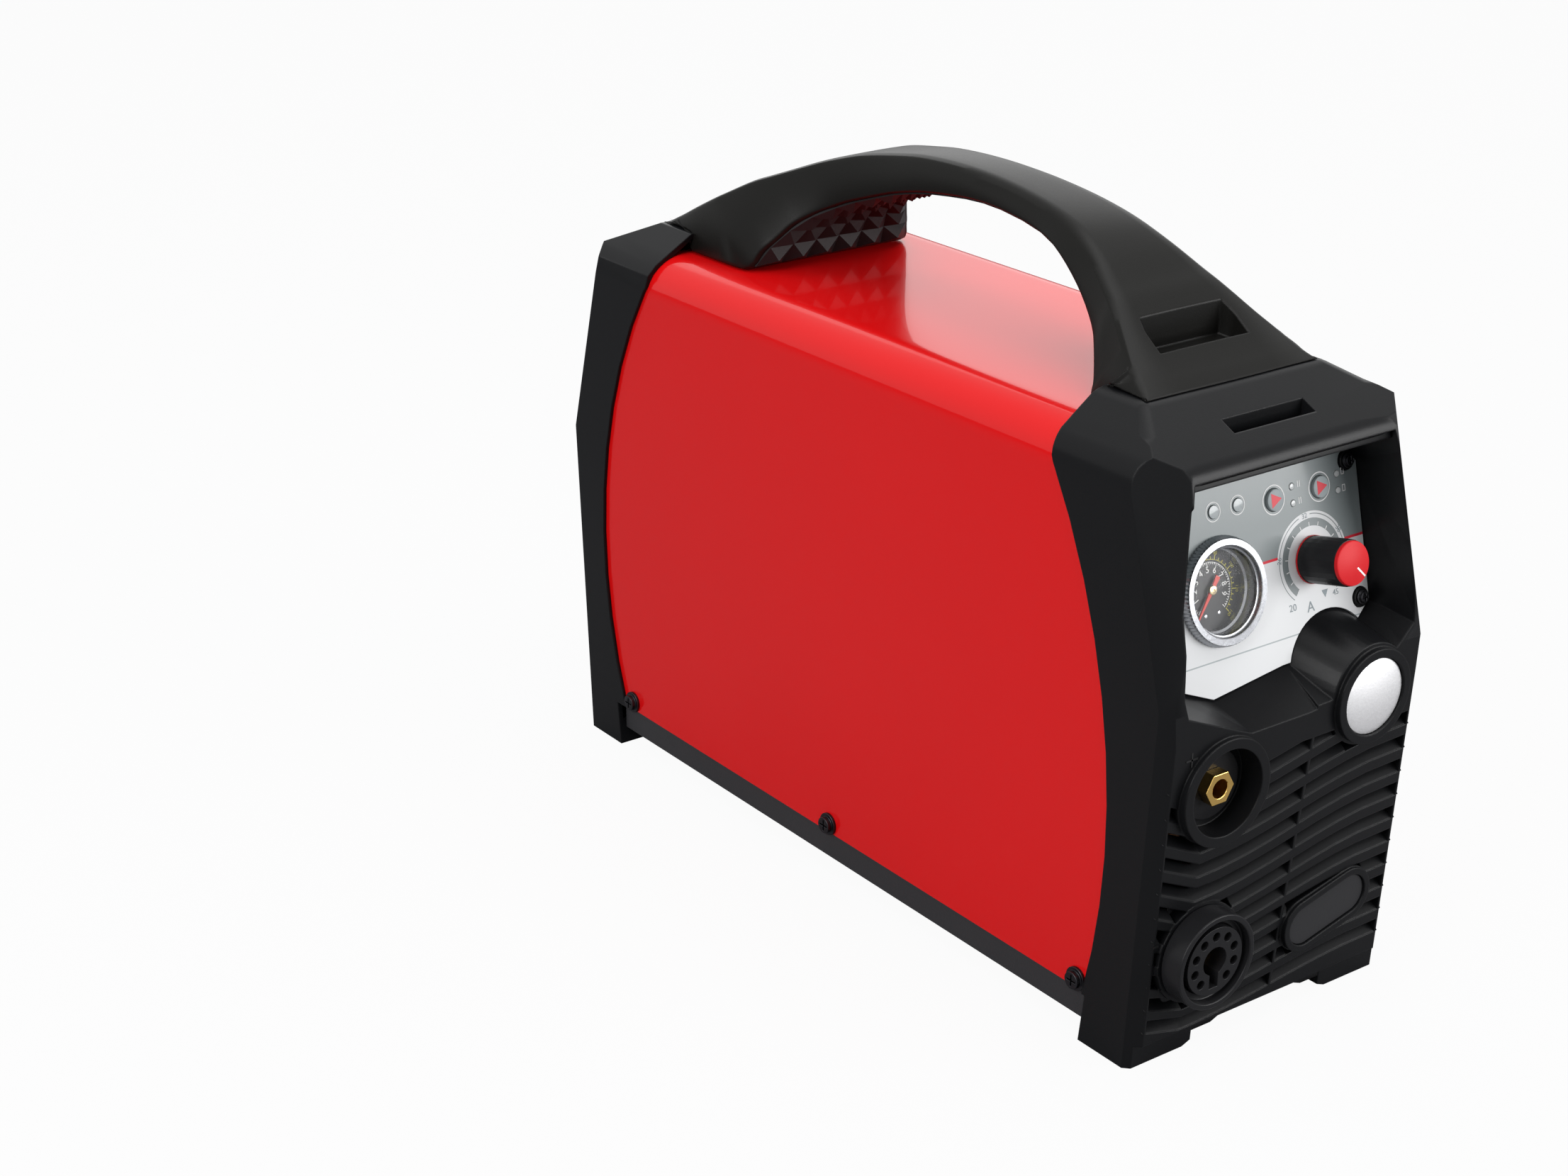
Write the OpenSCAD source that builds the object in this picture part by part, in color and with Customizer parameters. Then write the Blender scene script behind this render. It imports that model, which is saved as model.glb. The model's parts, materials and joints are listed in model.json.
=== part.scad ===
// Plasma cutter power source: a portable inverter in a red steel wrap between two moulded end
// bezels, with a control recess, an earth socket, a torch socket and an arched carrying handle.
// The front faces -Y, +Z is up, and the origin is on the ground under the middle of the case.

/* [Case] */
// Width over the end bezels
case_w = 164; // [156:1:200]
// Length over the end bezels, without the torch socket and the air inlet
case_l = 478; // [450:1:580]
// Height of the cover's top face above the ground
cover_top = 292.5; // [285:0.5:350]
// Height of the tray's underside above the ground
tray_z = 10; // [8:0.5:14]
// Thickness of the steel sheet
sheet_t = 1.5; // [1:0.1:2]
// Thickness of the moulded walls
wall = 3; // [2.4:0.1:3.6]
// Gap round what slides into a bezel
fit_gap = 0.2; // [0.1:0.05:0.4]
// How far the torch socket and the air inlet stand past the bezels
reach = 7; // [5:0.5:10]
// Outer radius of the cover's two bends
bend_r = 20; // [14:1:24]
// Depth of the cover hidden under each bezel's rim
tuck = 7; // [5:0.5:9]

/* [Control panel] */
// Lean of the control panel from upright, in degrees
panel_tilt = 13.6; // [8:0.2:16]
// Depth of the recess at the middle of the panel
recess_d = 29.5; // [24:0.5:32]
// Thickness of the control panel
panel_t = 2; // [1.5:0.1:3]
// Diameter of the gauge's flange
gauge_d = 50; // [44:1:54]
// Diameter of the gauge's case behind the panel
gauge_case_d = 41; // [36:1:44]
// Diameter of the current knob
knob_d = 22; // [18:1:26]
// Length of the current knob
knob_l = 23; // [16:1:24]
// Travel of the push buttons
button_travel = 1; // [0.6:0.1:1.5]

/* [Sockets] */
// Outer diameter of the earth socket's ring
earth_ring_d = 52; // [48:1:56]
// Inner diameter of the earth socket's cup
earth_cup_d = 42; // [38:1:44]
// Bore of the earth socket's brass contact
earth_bore_d = 9; // [8:0.5:13]
// Outer diameter of the torch socket's collar
torch_d = 47; // [44:1:50]
// Diameter of the torch socket's insulator
torch_face_d = 34; // [30:1:36]

/* [Rear] */
// Side of the square fan
fan_w = 120; // [92:1:122]
// Depth of the fan
fan_t = 25; // [20:1:38]
// Least wall of the fan's frame round its bore
fan_rim = 4; // [3:0.5:6]
// Running gap between moving pieces and their neighbours
run_gap = 0.3; // [0.2:0.05:0.5]

/* [Handle] */
// Height of the arch's crown above the cover
crown_h = 75; // [68:1:84]
// Thickness of the arch under its crown
grip_t = 15; // [12:1:18]
// Half width of the arch at its crown
grip_hw = 19; // [16:1:22]

/* [Hidden] */
$fn = 48;

hw = case_w / 2;
nose = case_l / 2;              // how far each bezel's nose is from the middle
nose_z = 165;                   // height of the nose
face_r = 512;                   // radius of the face above its nose
lean = 0.057;                   // slope of the face below its nose
brow_z = cover_top - 8;         // top edge of the face
saddle_z = cover_top + 10.7;    // top of the saddle that carries the handle
saddle_front = nose - 53.3;     // saddle's front edge
saddle_back = nose - 82;        // saddle's back edge
rim_top_z = cover_top - 15;
cover_low = 25;                 // cover's lower edge
cover_hw = hw - 2;
foot_h = 12;
foot_step = 3;
foot_back = nose - 45;
floor_z = tray_z + sheet_t;     // top of the tray, where the works stand

function face_at(z, i = 0) = z > nose_z
    ? nose - face_r + sqrt(pow(face_r - i, 2) - pow(z - nose_z, 2))
    : nose - i - (nose_z - z) * lean;
// A rim is [furthest reach, height of that reach, radius]
front_rim = [nose - 33.7, 108, 330];
rear_rim = [nose - 31.3, 125, 275];
function rim_arc(z, rim) = rim[0] - rim[2] + sqrt(pow(rim[2], 2) - pow(z - rim[1], 2));
function rim_at(z, rim) = z <= rim_top_z ? rim_arc(z, rim)
    : rim_arc(rim_top_z,
        rim) + (saddle_back - rim_arc(rim_top_z, rim)) * (z - rim_top_z) / (saddle_z - rim_top_z);

panel_zc = cover_top - 68.5;    // height of the panel's reference point
panel_yc = -face_at(panel_zc) + recess_d;
gauge_at = [-23, -8.5];
knob_at = [35, -7];
mode_at = [14.6, 24.8];
air_at = [43.7, 24.8];
lamps_at = [[-22.6, 27.2], [-7.6, 27.2]];
leds_at = [[26.5, 28.4], [26.5, 20.7], [55.5, 28.4], [55.5, 20.7]];
panel_screw_at = [[62, 33.5], [63, -31]];
button_d = 10;
lamp_d = 6;
led_d = 3;
knob_cap_t = 2;
spindle_d = 6;

badge_at = [47, panel_zc - 66];
badge_d = 37.4;
earth_at = [-44, 136];
torch_at = [-48, 54];
plate_at = [35.5, 48.5];
plate_turn = 13.6;
plate_l = 50;
plate_h = 20;

louvre_pitch = 12.55;
louvre_h = 7;
louvre_low = 25.5;
louvre_hw = hw - 7;
louvre_floor = 10;
slat_d = 17;                    // how far the slats reach behind the nose
rib_low_x = 2.5;                // thin rib that ties the slats together, at the ground
rib_high_x = 14;                // and 200 mm up
rib_w = 1.6;

window_hw = hw - 17;            // rear window
window_low = 30;
window_top = brow_z - 22;
rear_y = nose - 26;             // outer face of the rear panel
fan_z = 102;
switch_at = [-34, 194];
gland_at = [-34, 236];
inlet_at = [32, 188];
reg_at = [32, 234];

crown_y = -15;                  // the crown lies a little in front of the middle
crown_z = cover_top + crown_h;

function arc(cx, cy, r, a0, a1, n) =
    [for (i = [0:n]) let (a = a0 + (a1 - a0) * i / n) [cx + r * cos(a), cy + r * sin(a)]];

module along_x(w) rotate([90, 0, 90]) linear_extrude(w, center = true) children();
module along_y(y0, y1) translate([0, y1, 0]) rotate([90, 0, 0]) linear_extrude(y1 - y0) children();
module mirrored_x() { children(); mirror([1, 0, 0]) children(); }
module to_front() mirror([0, 1, 0]) children();
module on_panel(at = [0, 0]) translate([0, panel_yc, panel_zc]) rotate([90 - panel_tilt, 0, 0])
    translate([at[0], at[1], 0]) children();
module facing_front(x, y, z) translate([x, y, z]) rotate([90, 0, 0]) children();
module facing_rear(x, y, z) translate([x, y, z]) rotate([-90, 0, 0]) children();

// ---------- end bezels ----------
// Side outline of an end, drawn as [distance from the middle, height] and set in by i
module end_side(i, rim) polygon(concat(
    i > 0
        ? [[foot_back - 60, floor_z + wall], [face_at(floor_z, i), floor_z + wall]]
        : [[foot_back, 0], [face_at(0) - foot_step, 0], [face_at(foot_h) - foot_step, foot_h],
           [face_at(foot_h), foot_h]],
    [for (k = [0:8]) let (z = nose_z + (brow_z - nose_z) * k / 8 - (k == 8 ? i : 0))
        [face_at(z, i), z]],
    i > 0
        ? [[saddle_front - i / 2, saddle_z - i], [foot_back - 60, saddle_z - i]]
        : concat([[saddle_front, saddle_z], [saddle_back, saddle_z]],
            [for (k = [0:10]) let (z = rim_top_z + (cover_low - rim_top_z) * k / 10)
                [rim_at(z, rim), z]],
            [[foot_back + 3, cover_low]])));

// Front outline of an end, set in by i
module end_front(i) polygon(concat(
    i > 0 ? [[-hw + i, floor_z], [hw - i, floor_z]]
          : [[-hw, 0], [-hw + 35, 0], [-hw + 57, 9], [hw - 57, 9], [hw - 35, 0], [hw, 0]],
    [[hw - i, cover_top - 17.5], [hw - 1.5 - i, cover_top - 8.5], [hw - 6 - i, cover_top - 3.5 - i / 2],
     [hw - 14 - i / 2, cover_top + 2 - i], [hw - 27 - i / 3, saddle_z - i]],
    [[-hw + 27 + i / 3, saddle_z - i], [-hw + 14 + i / 2, cover_top + 2 - i],
     [-hw + 6 + i, cover_top - 3.5 - i / 2], [-hw + 1.5 + i, cover_top - 8.5],
     [-hw + i, cover_top - 17.5]]));

// Takes off a corner along a plane through the given point, turned and raised by two angles
module corner_cut(at, turn, rise, i) mirrored_x() translate([at[0], at[1], at[2]])
    rotate([0, -rise, turn]) translate([-i, -150, -300]) cube([80, 300, 600]);

module end_form(i, rim) difference() {
    intersection() {
        along_x(case_w + 2) end_side(i, rim);
        along_y(0, nose + 5) end_front(i);
    }
    corner_cut([hw, nose - 32.5, cover_top - 7.5], 46.6, 10.9, i);
    corner_cut([hw, nose - 6, nose_z], 45, -2.3, i);
}

// The cover seen from the front, grown by g and reaching down to low
module cover_outline(g, low) {
    r = bend_r + g;
    x = cover_hw - bend_r;
    z = cover_top - bend_r;
    polygon(concat([[-x - r, low], [x + r, low]], arc(x, z, r, 0, 90, 9), arc(-x, z, r, 90, 180, 9)));
}
// One end of the cover seen from the side: it follows the rim, tucked t under it, up to height top
function cover_end(rim, t, low, top) =
    [for (k = [0:10]) let (z = low + (top - low) * k / 10) [rim_at(z, rim) + t, z]];

// An end bezel without its openings: a hollow shell rebated for the cover
module end_shell(rim) difference() {
    end_form(0, rim);
    end_form(wall, rim);
    intersection() {
        along_y(0, nose) cover_outline(fit_gap, floor_z + wall);
        along_x(case_w) polygon(concat([[0, floor_z + wall]],
            cover_end(rim, tuck + 1, floor_z + wall, cover_top + fit_gap), [[0, cover_top + fit_gap]]));
    }
    translate([-hw + 40, foot_back + wall, -1]) cube([case_w - 80, 30, 12]);
    mirrored_x() translate([hw - 35 + wall, foot_back + wall, -1])
        cube([35 - 2 * wall, 26, foot_h - wall + 1]);
}

// Outline of the recess at the control panel, in two convex parts grown by g
function left_panel(g) = [[-hw + 22 - g, 45 + g], [-hw + 13 - g, 32], [-hw + 13 - g, -41],
    [-49.6, -49.3 - g],
    [-34, -55.8 - g], [12.9, -50.6 - g], [14, 45 + g]];
function right_panel(g) = [[10, 45 + g], [hw - 22 + g, 45 + g], [hw - 13 + g, 32], [hw - 13 + g, -33],
    [hw - 22 + g, -41 - g], [40, -50.9 - g], [10, -50.9 - g]];
// The rounded hill between the panel and the badge, as a circle at the panel and one at the face
hill_at = [40.5, -58];
hill_r = 26.3;
hill_face_r = badge_d / 2 + 5;
module recess_outline() difference() {
    union() {
        polygon(left_panel(0));
        polygon(right_panel(0));
    }
    translate(hill_at) circle(r = hill_r);
}

// Space in front of the control panel, widening towards the face, grown by g
module recess_space(g) {
    left_face = [[-hw + 20 - g, brow_z - 10 + g], [-hw + 11 - g, panel_zc - 6],
        [-hw + 10 - g, panel_zc - 37],
        [-hw + 13 - g, panel_zc - 47], [-28, panel_zc - 65 - g], [12, panel_zc - 65 - g],
            [14, brow_z - 10 + g]];
    right_face = [[10, brow_z - 10 + g], [hw - 20 + g, brow_z - 10 + g], [hw - 11 + g, panel_zc - 6],
        [hw - 9.5 + g, panel_zc - 37], [hw - 19 + g, panel_zc - 46 - g], [40, panel_zc - 62 - g],
        [10, panel_zc - 63 - g]];
    difference() {
        for (part = [[left_face, left_panel(g)], [right_face, right_panel(g)]]) hull() {
            along_y(-nose - 3, -nose - 2) polygon(part[0]);
            on_panel() translate([0, 0, g > 0 ? -panel_t - wall : -panel_t]) linear_extrude(0.5)
                polygon(part[1]);
        }
        hull() {
            along_y(-nose - 5, -nose - 1) translate(badge_at) circle(r = hill_face_r - g);
            on_panel() translate([hill_at[0], hill_at[1], -panel_t - wall - 1])
                cylinder(r = hill_r - g, h = wall + 1.01);
        }
    }
}

// Louvre line number k at x: it dips on the left, then climbs to a level run on the right
function wave(x, k) = let (amp = k < 5 ? 9 + 1.4 * k : 16)
    x < -53 ? -amp + (-53 - x) * 0.03 * amp : -amp * (1 + cos(180 * min(1, (x + 53) / 120))) / 2;
module louvre(k) {
    xs = [-louvre_hw, -53, -38, -23, -8, 7, 22, 37, 52, louvre_hw];
    zc = louvre_low + louvre_pitch * k;
    polygon(concat([for (x = xs) [x, zc + wave(x, k) - louvre_h / 2]],
        [for (j = [len(xs) - 1:-1:0]) [xs[j], zc + wave(xs[j], k) + louvre_h / 2]]));
}
module stadium(l, h) {
    square([l - h, h], center = true);
    for (s = [-1, 1]) translate([s * (l - h) / 2, 0]) circle(d = h);
}
// What the louvres leave whole: the rims of the sockets, badge and plate, and the recess's lower lip
module louvre_stops() {
    translate(earth_at) circle(d = earth_ring_d + 1);
    translate(torch_at) circle(d = torch_d + 3);
    translate(badge_at) circle(d = badge_d + 12);
    translate(plate_at) rotate(plate_turn) stadium(plate_l + 8, plate_h + 8);
    translate([-hw, panel_zc - 78]) square([case_w, 100]);
    translate([-hw, panel_zc - 86]) square([40, 100]);
}
module louvres() difference() {
    for (k = [0:10]) louvre(k);
    louvre_stops();
    polygon([[rib_low_x, 0], [rib_low_x + rib_w, 0], [rib_high_x + rib_w, 200], [rib_high_x, 200]]);
    square([case_w, 2 * louvre_floor], center = true);
}
// The field of slats, clear of the nuts behind the sockets
module slat_field() difference() {
    translate([-louvre_hw - wall, louvre_floor])
        square([2 * (louvre_hw + wall), panel_zc - 64.5 - louvre_floor]);
    translate(earth_at) circle(d = earth_ring_d);
    translate(torch_at) circle(d = nut_af * 1.2 + 6);
    translate(badge_at) circle(d = badge_d + 12);
}

earth_face = -face_at(earth_at[1]);
torch_face = -face_at(torch_at[1]);
badge_face = -face_at(badge_at[1]);
plate_face = -face_at(plate_at[1]);
earth_floor_y = earth_face + 9;      // floor of the earth socket's cup
badge_floor_y = badge_face + 0.5;
torch_seat_y = torch_face + wall + 2; // seat of the torch socket's nut, inside
nut_af = 50;

module front_bezel() color("#1d1d20") {
    difference() {
        union() {
            difference() {
                union() {
                    to_front() end_shell(front_rim);
                    intersection() {
                        to_front() end_form(0, front_rim);
                        union() {
                            along_y(-nose - 1, -nose + slat_d) slat_field();
                            difference() {
                                union() {
                                    recess_space(wall);
                                    translate([-slot_l / 2 - wall, slot_y - slot_w / 2 - wall,
                                        brow_z - 14])
                                        cube([slot_l + 2 * wall, slot_w + 2 * wall, 30]);
                                }
                                on_panel() translate([0, 0, -40]) linear_extrude(40 - panel_t - wall)
                                    square(300, center = true);
                                on_panel() translate([0, 0, -panel_t - wall - 1]) linear_extrude(wall + 2)
                                    offset(delta = -5) recess_outline();
                            }
                        }
                    }
                }
                recess_space(0);
            }
            for (p = panel_screw_at) on_panel(p) translate([0, 0, -panel_t - wall])
                cylinder(d = 9, h = panel_t + wall + 1);
            facing_front(earth_at[0], earth_face + 9 + wall, earth_at[1])
                cylinder(d = earth_ring_d, h = 9 + wall + 4);
            facing_front(torch_at[0], torch_seat_y, torch_at[1])
                cylinder(d = torch_d + 4, h = torch_seat_y - torch_face + 1.5);
            facing_front(torch_at[0], torch_seat_y, torch_at[1]) cylinder(d = nut_af + 6, h = 3);
            facing_front(badge_at[0], badge_face + wall + 2, badge_at[1])
                cylinder(d = badge_d + 9, h = wall + 5);
            translate([plate_at[0], plate_face + wall, plate_at[1]]) rotate([90, -plate_turn, 0])
                linear_extrude(wall + 2.5) stadium(plate_l + 7, plate_h + 7);
            mirrored_x() translate([bezel_screw_x, -bezel_screw_y, floor_z]) cylinder(d = 8, h = 14);
            mirrored_x() translate([handle_screw_x, -handle_screw_y, saddle_z - wall - handle_boss_h])
                cylinder(d = 12, h = handle_boss_h + 1);
            translate([-hw + 8, -nose + 14, floor_z]) cube([case_w - 16, tray_lap_y, wall]);
        }
        along_y(-nose - 10, -nose + slat_d + 3) louvres();
        facing_front(earth_at[0], earth_floor_y, earth_at[1]) cylinder(d = earth_cup_d, h = 40);
        facing_front(earth_at[0], 0, earth_at[1]) cylinder(d = earth_neck_d, h = nose);
        facing_front(torch_at[0], 0, torch_at[1]) cylinder(d = torch_d - 6, h = nose + 20);
        facing_front(badge_at[0], badge_floor_y, badge_at[1]) cylinder(d = badge_d + 0.4, h = 30);
        translate([plate_at[0], plate_face + 0.5, plate_at[1]]) rotate([90, -plate_turn, 0])
            linear_extrude(30) stadium(plate_l + 0.4, plate_h + 0.4);
        for (p = panel_screw_at) on_panel(p) translate([0, 0, -20]) cylinder(d = 3, h = 40);
        mirrored_x() translate([bezel_screw_x, -bezel_screw_y, 0]) cylinder(d = 4, h = floor_z + 11);
        mirrored_x() translate([handle_screw_x, -handle_screw_y, saddle_z - 20])
            cylinder(d = 5.2, h = 60);
        translate([-slot_l / 2, slot_y - slot_w / 2, brow_z - 40]) cube([slot_l, slot_w, 80]);
    }
}

slot_l = 50;
slot_w = 8.5;
slot_y = -nose + 31.7;
tray_lap_y = 48;
bezel_screw_x = 55;
bezel_screw_y = nose - 50;
handle_screw_x = 30;
handle_screw_y = nose - 66;
handle_boss_h = 4;
earth_neck_d = 18;

module rear_bezel() color("#1d1d20") {
    difference() {
        union() {
            difference() {
                end_shell(rear_rim);
                translate([-window_hw, nose - 60, window_low])
                    cube([2 * window_hw, 100, window_top - window_low]);
            }
            intersection() {
                end_form(0, rear_rim);
                difference() {
                    translate([-window_hw - wall, rear_y - sheet_t - wall, window_low - wall])
                        cube([2 * window_hw + 2 * wall, 60, window_top - window_low + 2 * wall]);
                    translate([-window_hw, rear_y - sheet_t, window_low])
                        cube([2 * window_hw, 60, window_top - window_low]);
                    translate([-window_hw + 5, 0, window_low + 2])
                        cube([2 * window_hw - 10, nose, window_top - window_low - 10]);
                }
            }
            for (p = rear_screws_at) translate([p[0], rear_y - sheet_t - 9, p[1]]) rotate([-90, 0, 0])
                cylinder(d = 8, h = 9);
            mirrored_x() translate([bezel_screw_x, bezel_screw_y, floor_z]) cylinder(d = 8, h = 14);
            mirrored_x() translate([handle_screw_x, handle_rear_y, saddle_z - wall - handle_boss_h])
                cylinder(d = 12, h = handle_boss_h + 1);
            translate([-hw + 8, nose - 14 - tray_lap_y, floor_z]) cube([case_w - 16, tray_lap_y, wall]);
        }
        for (p = rear_screws_at) translate([p[0], rear_y - 30, p[1]]) rotate([-90, 0, 0])
            cylinder(d = 3, h = 60);
        mirrored_x() translate([bezel_screw_x, bezel_screw_y, 0]) cylinder(d = 4, h = floor_z + 11);
        mirrored_x() translate([handle_screw_x, handle_rear_y, saddle_z - 20]) cylinder(d = 5.2, h = 60);
    }
}
rear_screws_at = [for (sx = [-1, 1]) for (z = [window_low + 6, window_top - 6])
    [sx * (window_hw - 4), z]];
handle_rear_y = nose - 69;

// ---------- tray and cover ----------
tray_end = nose - 45.5;
module base_tray() color("#26262a") difference() {
    union() {
        translate([-cover_in, -tray_end, tray_z]) cube([2 * cover_in, 2 * tray_end, sheet_t]);
        mirrored_x() translate([cover_in - sheet_t, -tray_end, tray_z]) cube([sheet_t, 2 * tray_end, 36]);
    }
    for (y = [-1, 1]) mirrored_x() translate([bezel_screw_x, y * bezel_screw_y, 0])
        cylinder(d = 4.4, h = 30);
    for (y = cover_screws_y) translate([0, y, cover_screw_z]) rotate([0, 90, 0])
        cylinder(d = 4, h = case_w, center = true);
    for (y = [-60:20:80], x = [-24, 0, 24]) translate([x, y, 0]) linear_extrude(30)
        square([5, 12], center = true);
}
cover_t = 1.2;
cover_in = cover_hw - cover_t;
cover_screws_y = [-nose + 49.5, 0, nose - 56];
cover_screw_z = 30;

// The wrap's two ends follow the bezels' rims, tucked under them
module cover() color("#d2120f") difference() {
    intersection() {
        along_y(-nose, nose) difference() {
            cover_outline(0, cover_low);
            cover_outline(-cover_t, cover_low - 1);
        }
        along_x(case_w) polygon(concat(
            [for (p = cover_end(front_rim, tuck, cover_low, cover_top)) [-p[0], p[1]]],
            [for (k = [10:-1:0]) cover_end(rear_rim, tuck, cover_low, cover_top)[k]]));
    }
    for (y = cover_screws_y) translate([0, y, cover_screw_z]) rotate([0, 90, 0])
        cylinder(d = 4.4, h = case_w + 10, center = true);
}

module washer_screw(d, head_d, head_h, l) {
    cylinder(d = head_d, h = head_h * 0.4);
    difference() {
        cylinder(d = head_d * 0.72, h = head_h);
        translate([0, 0, head_h * 0.45]) for (a = [0, 90]) rotate(a)
            translate([-head_d * 0.25, -0.4, 0]) cube([head_d * 0.5, 0.8, head_h]);
    }
    translate([0, 0, -l]) cylinder(d = d, h = l + 0.01);
}
module cover_screws() color("#17171a") for (y = cover_screws_y, s = [-1, 1])
    translate([s * cover_hw, y, cover_screw_z]) rotate([0, s * 90, 0]) washer_screw(4, 12, 4, 5);
module bezel_screws() color("#8a8a8e") for (y = [-1, 1]) mirrored_x()
    translate([bezel_screw_x, y * bezel_screw_y, tray_z]) rotate([180, 0, 0]) washer_screw(4, 9, 3, 11);
module handle_screws() color("#8a8a8e") {
    mirrored_x() translate([handle_screw_x, -handle_screw_y, saddle_z - wall - handle_boss_h])
        rotate([180, 0, 0]) washer_screw(5, 10, 3, 11);
    mirrored_x() translate([handle_screw_x, handle_rear_y, saddle_z - wall - handle_boss_h])
        rotate([180, 0, 0]) washer_screw(5, 10, 3, 11);
}

// ---------- handle ----------
// Outer and inner lines of the arch seen from the side, as [y, height above the cover]
arch_front = -saddle_front;
arch_rear = saddle_front;
arch_top = [[arch_rear, saddle_z - cover_top], [arch_rear - 10.7, 16.5], [147, 31.5], [125, 43.5],
    [105, 52], [88, 58.5], [61, 67.5], [40, 71.5],
    [10, crown_h - 1], [crown_y, crown_h], [-40, crown_h - 1.5], [-63, crown_h - 4.5],
        [-101, crown_h - 11],
    [-133, 46], [-160, 28], [arch_front, saddle_z - cover_top]];
arch_under = [[saddle_back * -1, saddle_z - cover_top], [-saddle_back, 0.1], [-145, 0.1], [-138, 18],
    [-118, 36],
    [-90, 53], [-45, crown_h - grip_t], [crown_y, crown_h - grip_t], [10, crown_h - grip_t - 3],
    [65, 42], [85, 31], [99, 19], [108, 6], [112, 0.1], [saddle_back, 0.1],
        [saddle_back, saddle_z - cover_top]];
// Half width of the arch, as [half width, height above the cover]
arch_width = [[hw - 27, -1], [hw - 29.5, saddle_z - cover_top], [hw - 30.5, 16.5], [47, 27], [39, 39],
    [30, 49],
    [24, 57], [grip_hw + 1, crown_h - 11], [grip_hw - 3, crown_h - 4], [grip_hw - 4.5, crown_h + 1]];
module arch_side() translate([0, cover_top]) polygon(concat(arch_top, arch_under));
module arch_front_view(g = 0) translate([0, cover_top]) offset(delta = -g) polygon(concat(
    arch_width, [for (j = [len(arch_width) - 1:-1:0]) [-arch_width[j][0], arch_width[j][1]]]));
grip_zone = [[-139, 16], [-119, 35], [-91, 52], [-45, crown_h - grip_t - 1],
    [crown_y, crown_h - grip_t - 1],
    [10, crown_h - grip_t - 4], [65, 41], [85, 30], [99, 18], [108, 5],
    [116, 9], [106, 22], [90, 36], [67, 47.5], [11, crown_h - grip_t + 4],
        [crown_y, crown_h - grip_t + 6],
    [-46, crown_h - grip_t + 6], [-95, 58], [-124, 40], [-146, 18]];
// The side outline above the grip, set in by g
module arch_core(g) offset(delta = -g) difference() {
    arch_side();
    translate([0, cover_top]) polygon(grip_zone);
}
// Pocket in the handle's front foot, grown by g on its inner sides
module foot_pocket(g) translate([0, -nose + 71.3, saddle_z + 15.8]) rotate([30, 0, 0])
    translate([-pocket_l / 2 - g, -g, -pocket_d - g])
        cube([pocket_l + 2 * g, pocket_w + 2 * g, pocket_d + g + (g > 0 ? 0 : 9)]);
pocket_l = 54;
pocket_w = 21;
pocket_d = 10;
module handle() color("#222226") difference() {
    union() {
        difference() {
            intersection() {
                along_x(case_w) arch_core(0);
                along_y(arch_front - 1, arch_rear + 1) arch_front_view();
            }
            intersection() {
                along_x(case_w) arch_core(wall);
                along_y(arch_front - 1, arch_rear + 1) arch_front_view(wall);
            }
        }
        intersection() {
            along_x(case_w) arch_core(0);
            along_y(arch_front - 1, arch_rear + 1) arch_front_view();
            union() {
                foot_pocket(2.5);
                for (y = [-handle_screw_y, handle_rear_y]) mirrored_x()
                    translate([handle_screw_x, y, 0]) cylinder(d = 11, h = saddle_z + 20);
            }
        }
    }
    foot_pocket(0);
    for (y = [-handle_screw_y, handle_rear_y]) mirrored_x()
        translate([handle_screw_x, y, 0]) cylinder(d = 5.2, h = saddle_z + 5);
}
module handle_grip() color("#141416") intersection() {
    along_x(case_w) translate([0, cover_top]) polygon(grip_zone);
    along_y(arch_front - 1, arch_rear + 1) arch_front_view(1.2);
}

// ---------- control panel ----------
module panel_outline() difference() {
    offset(delta = -0.3) recess_outline();
    for (p = panel_screw_at) translate(p) circle(d = 10);
    translate([hw - 18, 35]) square(20);
}
module control_panel() color("#e9eaec") on_panel() translate([0, 0, -panel_t]) linear_extrude(panel_t)
    difference() {
        panel_outline();
        translate(gauge_at) circle(d = gauge_case_d + 0.4);
        translate(knob_at) circle(d = 10);
        for (p = [mode_at, air_at]) translate(p) circle(d = button_d + 2 * run_gap);
        for (p = lamps_at) translate(p) circle(d = lamp_d + 0.2);
        for (p = leds_at) translate(p) circle(d = led_d + 0.2);
    }
module panel_screws() color("#101012") for (p = panel_screw_at) on_panel(p)
    translate([0, 0, 1]) washer_screw(3, 7, 2.4, 8);

gauge_depth = 24;
flange_t = 5;
module gauge_case() color("#b9bcc0") on_panel(gauge_at) {
    difference() {
        union() {
            cylinder(d1 = gauge_d, d2 = gauge_d - 4, h = flange_t);
            translate([0, 0, -gauge_depth]) cylinder(d = gauge_case_d, h = gauge_depth + 0.01);
            translate([0, 0, -gauge_depth - 14]) cylinder(d = 10, h = 15);
        }
        translate([0, 0, -8]) cylinder(d = gauge_case_d - 3, h = 30);
        translate([0, 0, -gauge_depth - 15]) cylinder(d = 4, h = 10);
    }
}
module gauge_dial() color("#15161a") on_panel(gauge_at) translate([0, 0, -8])
    difference() { cylinder(d = gauge_case_d - 3, h = 1.2); translate([0, 0, -1])
        cylinder(d = 3, h = 4); }
module gauge_lens() color([0.85, 0.9, 0.95, 0.4]) on_panel(gauge_at) translate([0, 0, 1])
    cylinder(d = gauge_case_d - 3, h = 2);
module gauge_needle() color("#d8202a") on_panel(gauge_at) {
    translate([0, 0, -8 + run_gap]) cylinder(d = 3 - 2 * run_gap, h = 4 - run_gap);
    translate([0, 0, -5.8]) rotate(-130) linear_extrude(0.8)
        polygon([[-6, -1], [-6, 1], [0, 1.3], [15, 0.3], [15, -0.3], [0, -1.3]]);
    translate([0, 0, -5.8]) cylinder(d = 4.4, h = 1.2);
}
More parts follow.
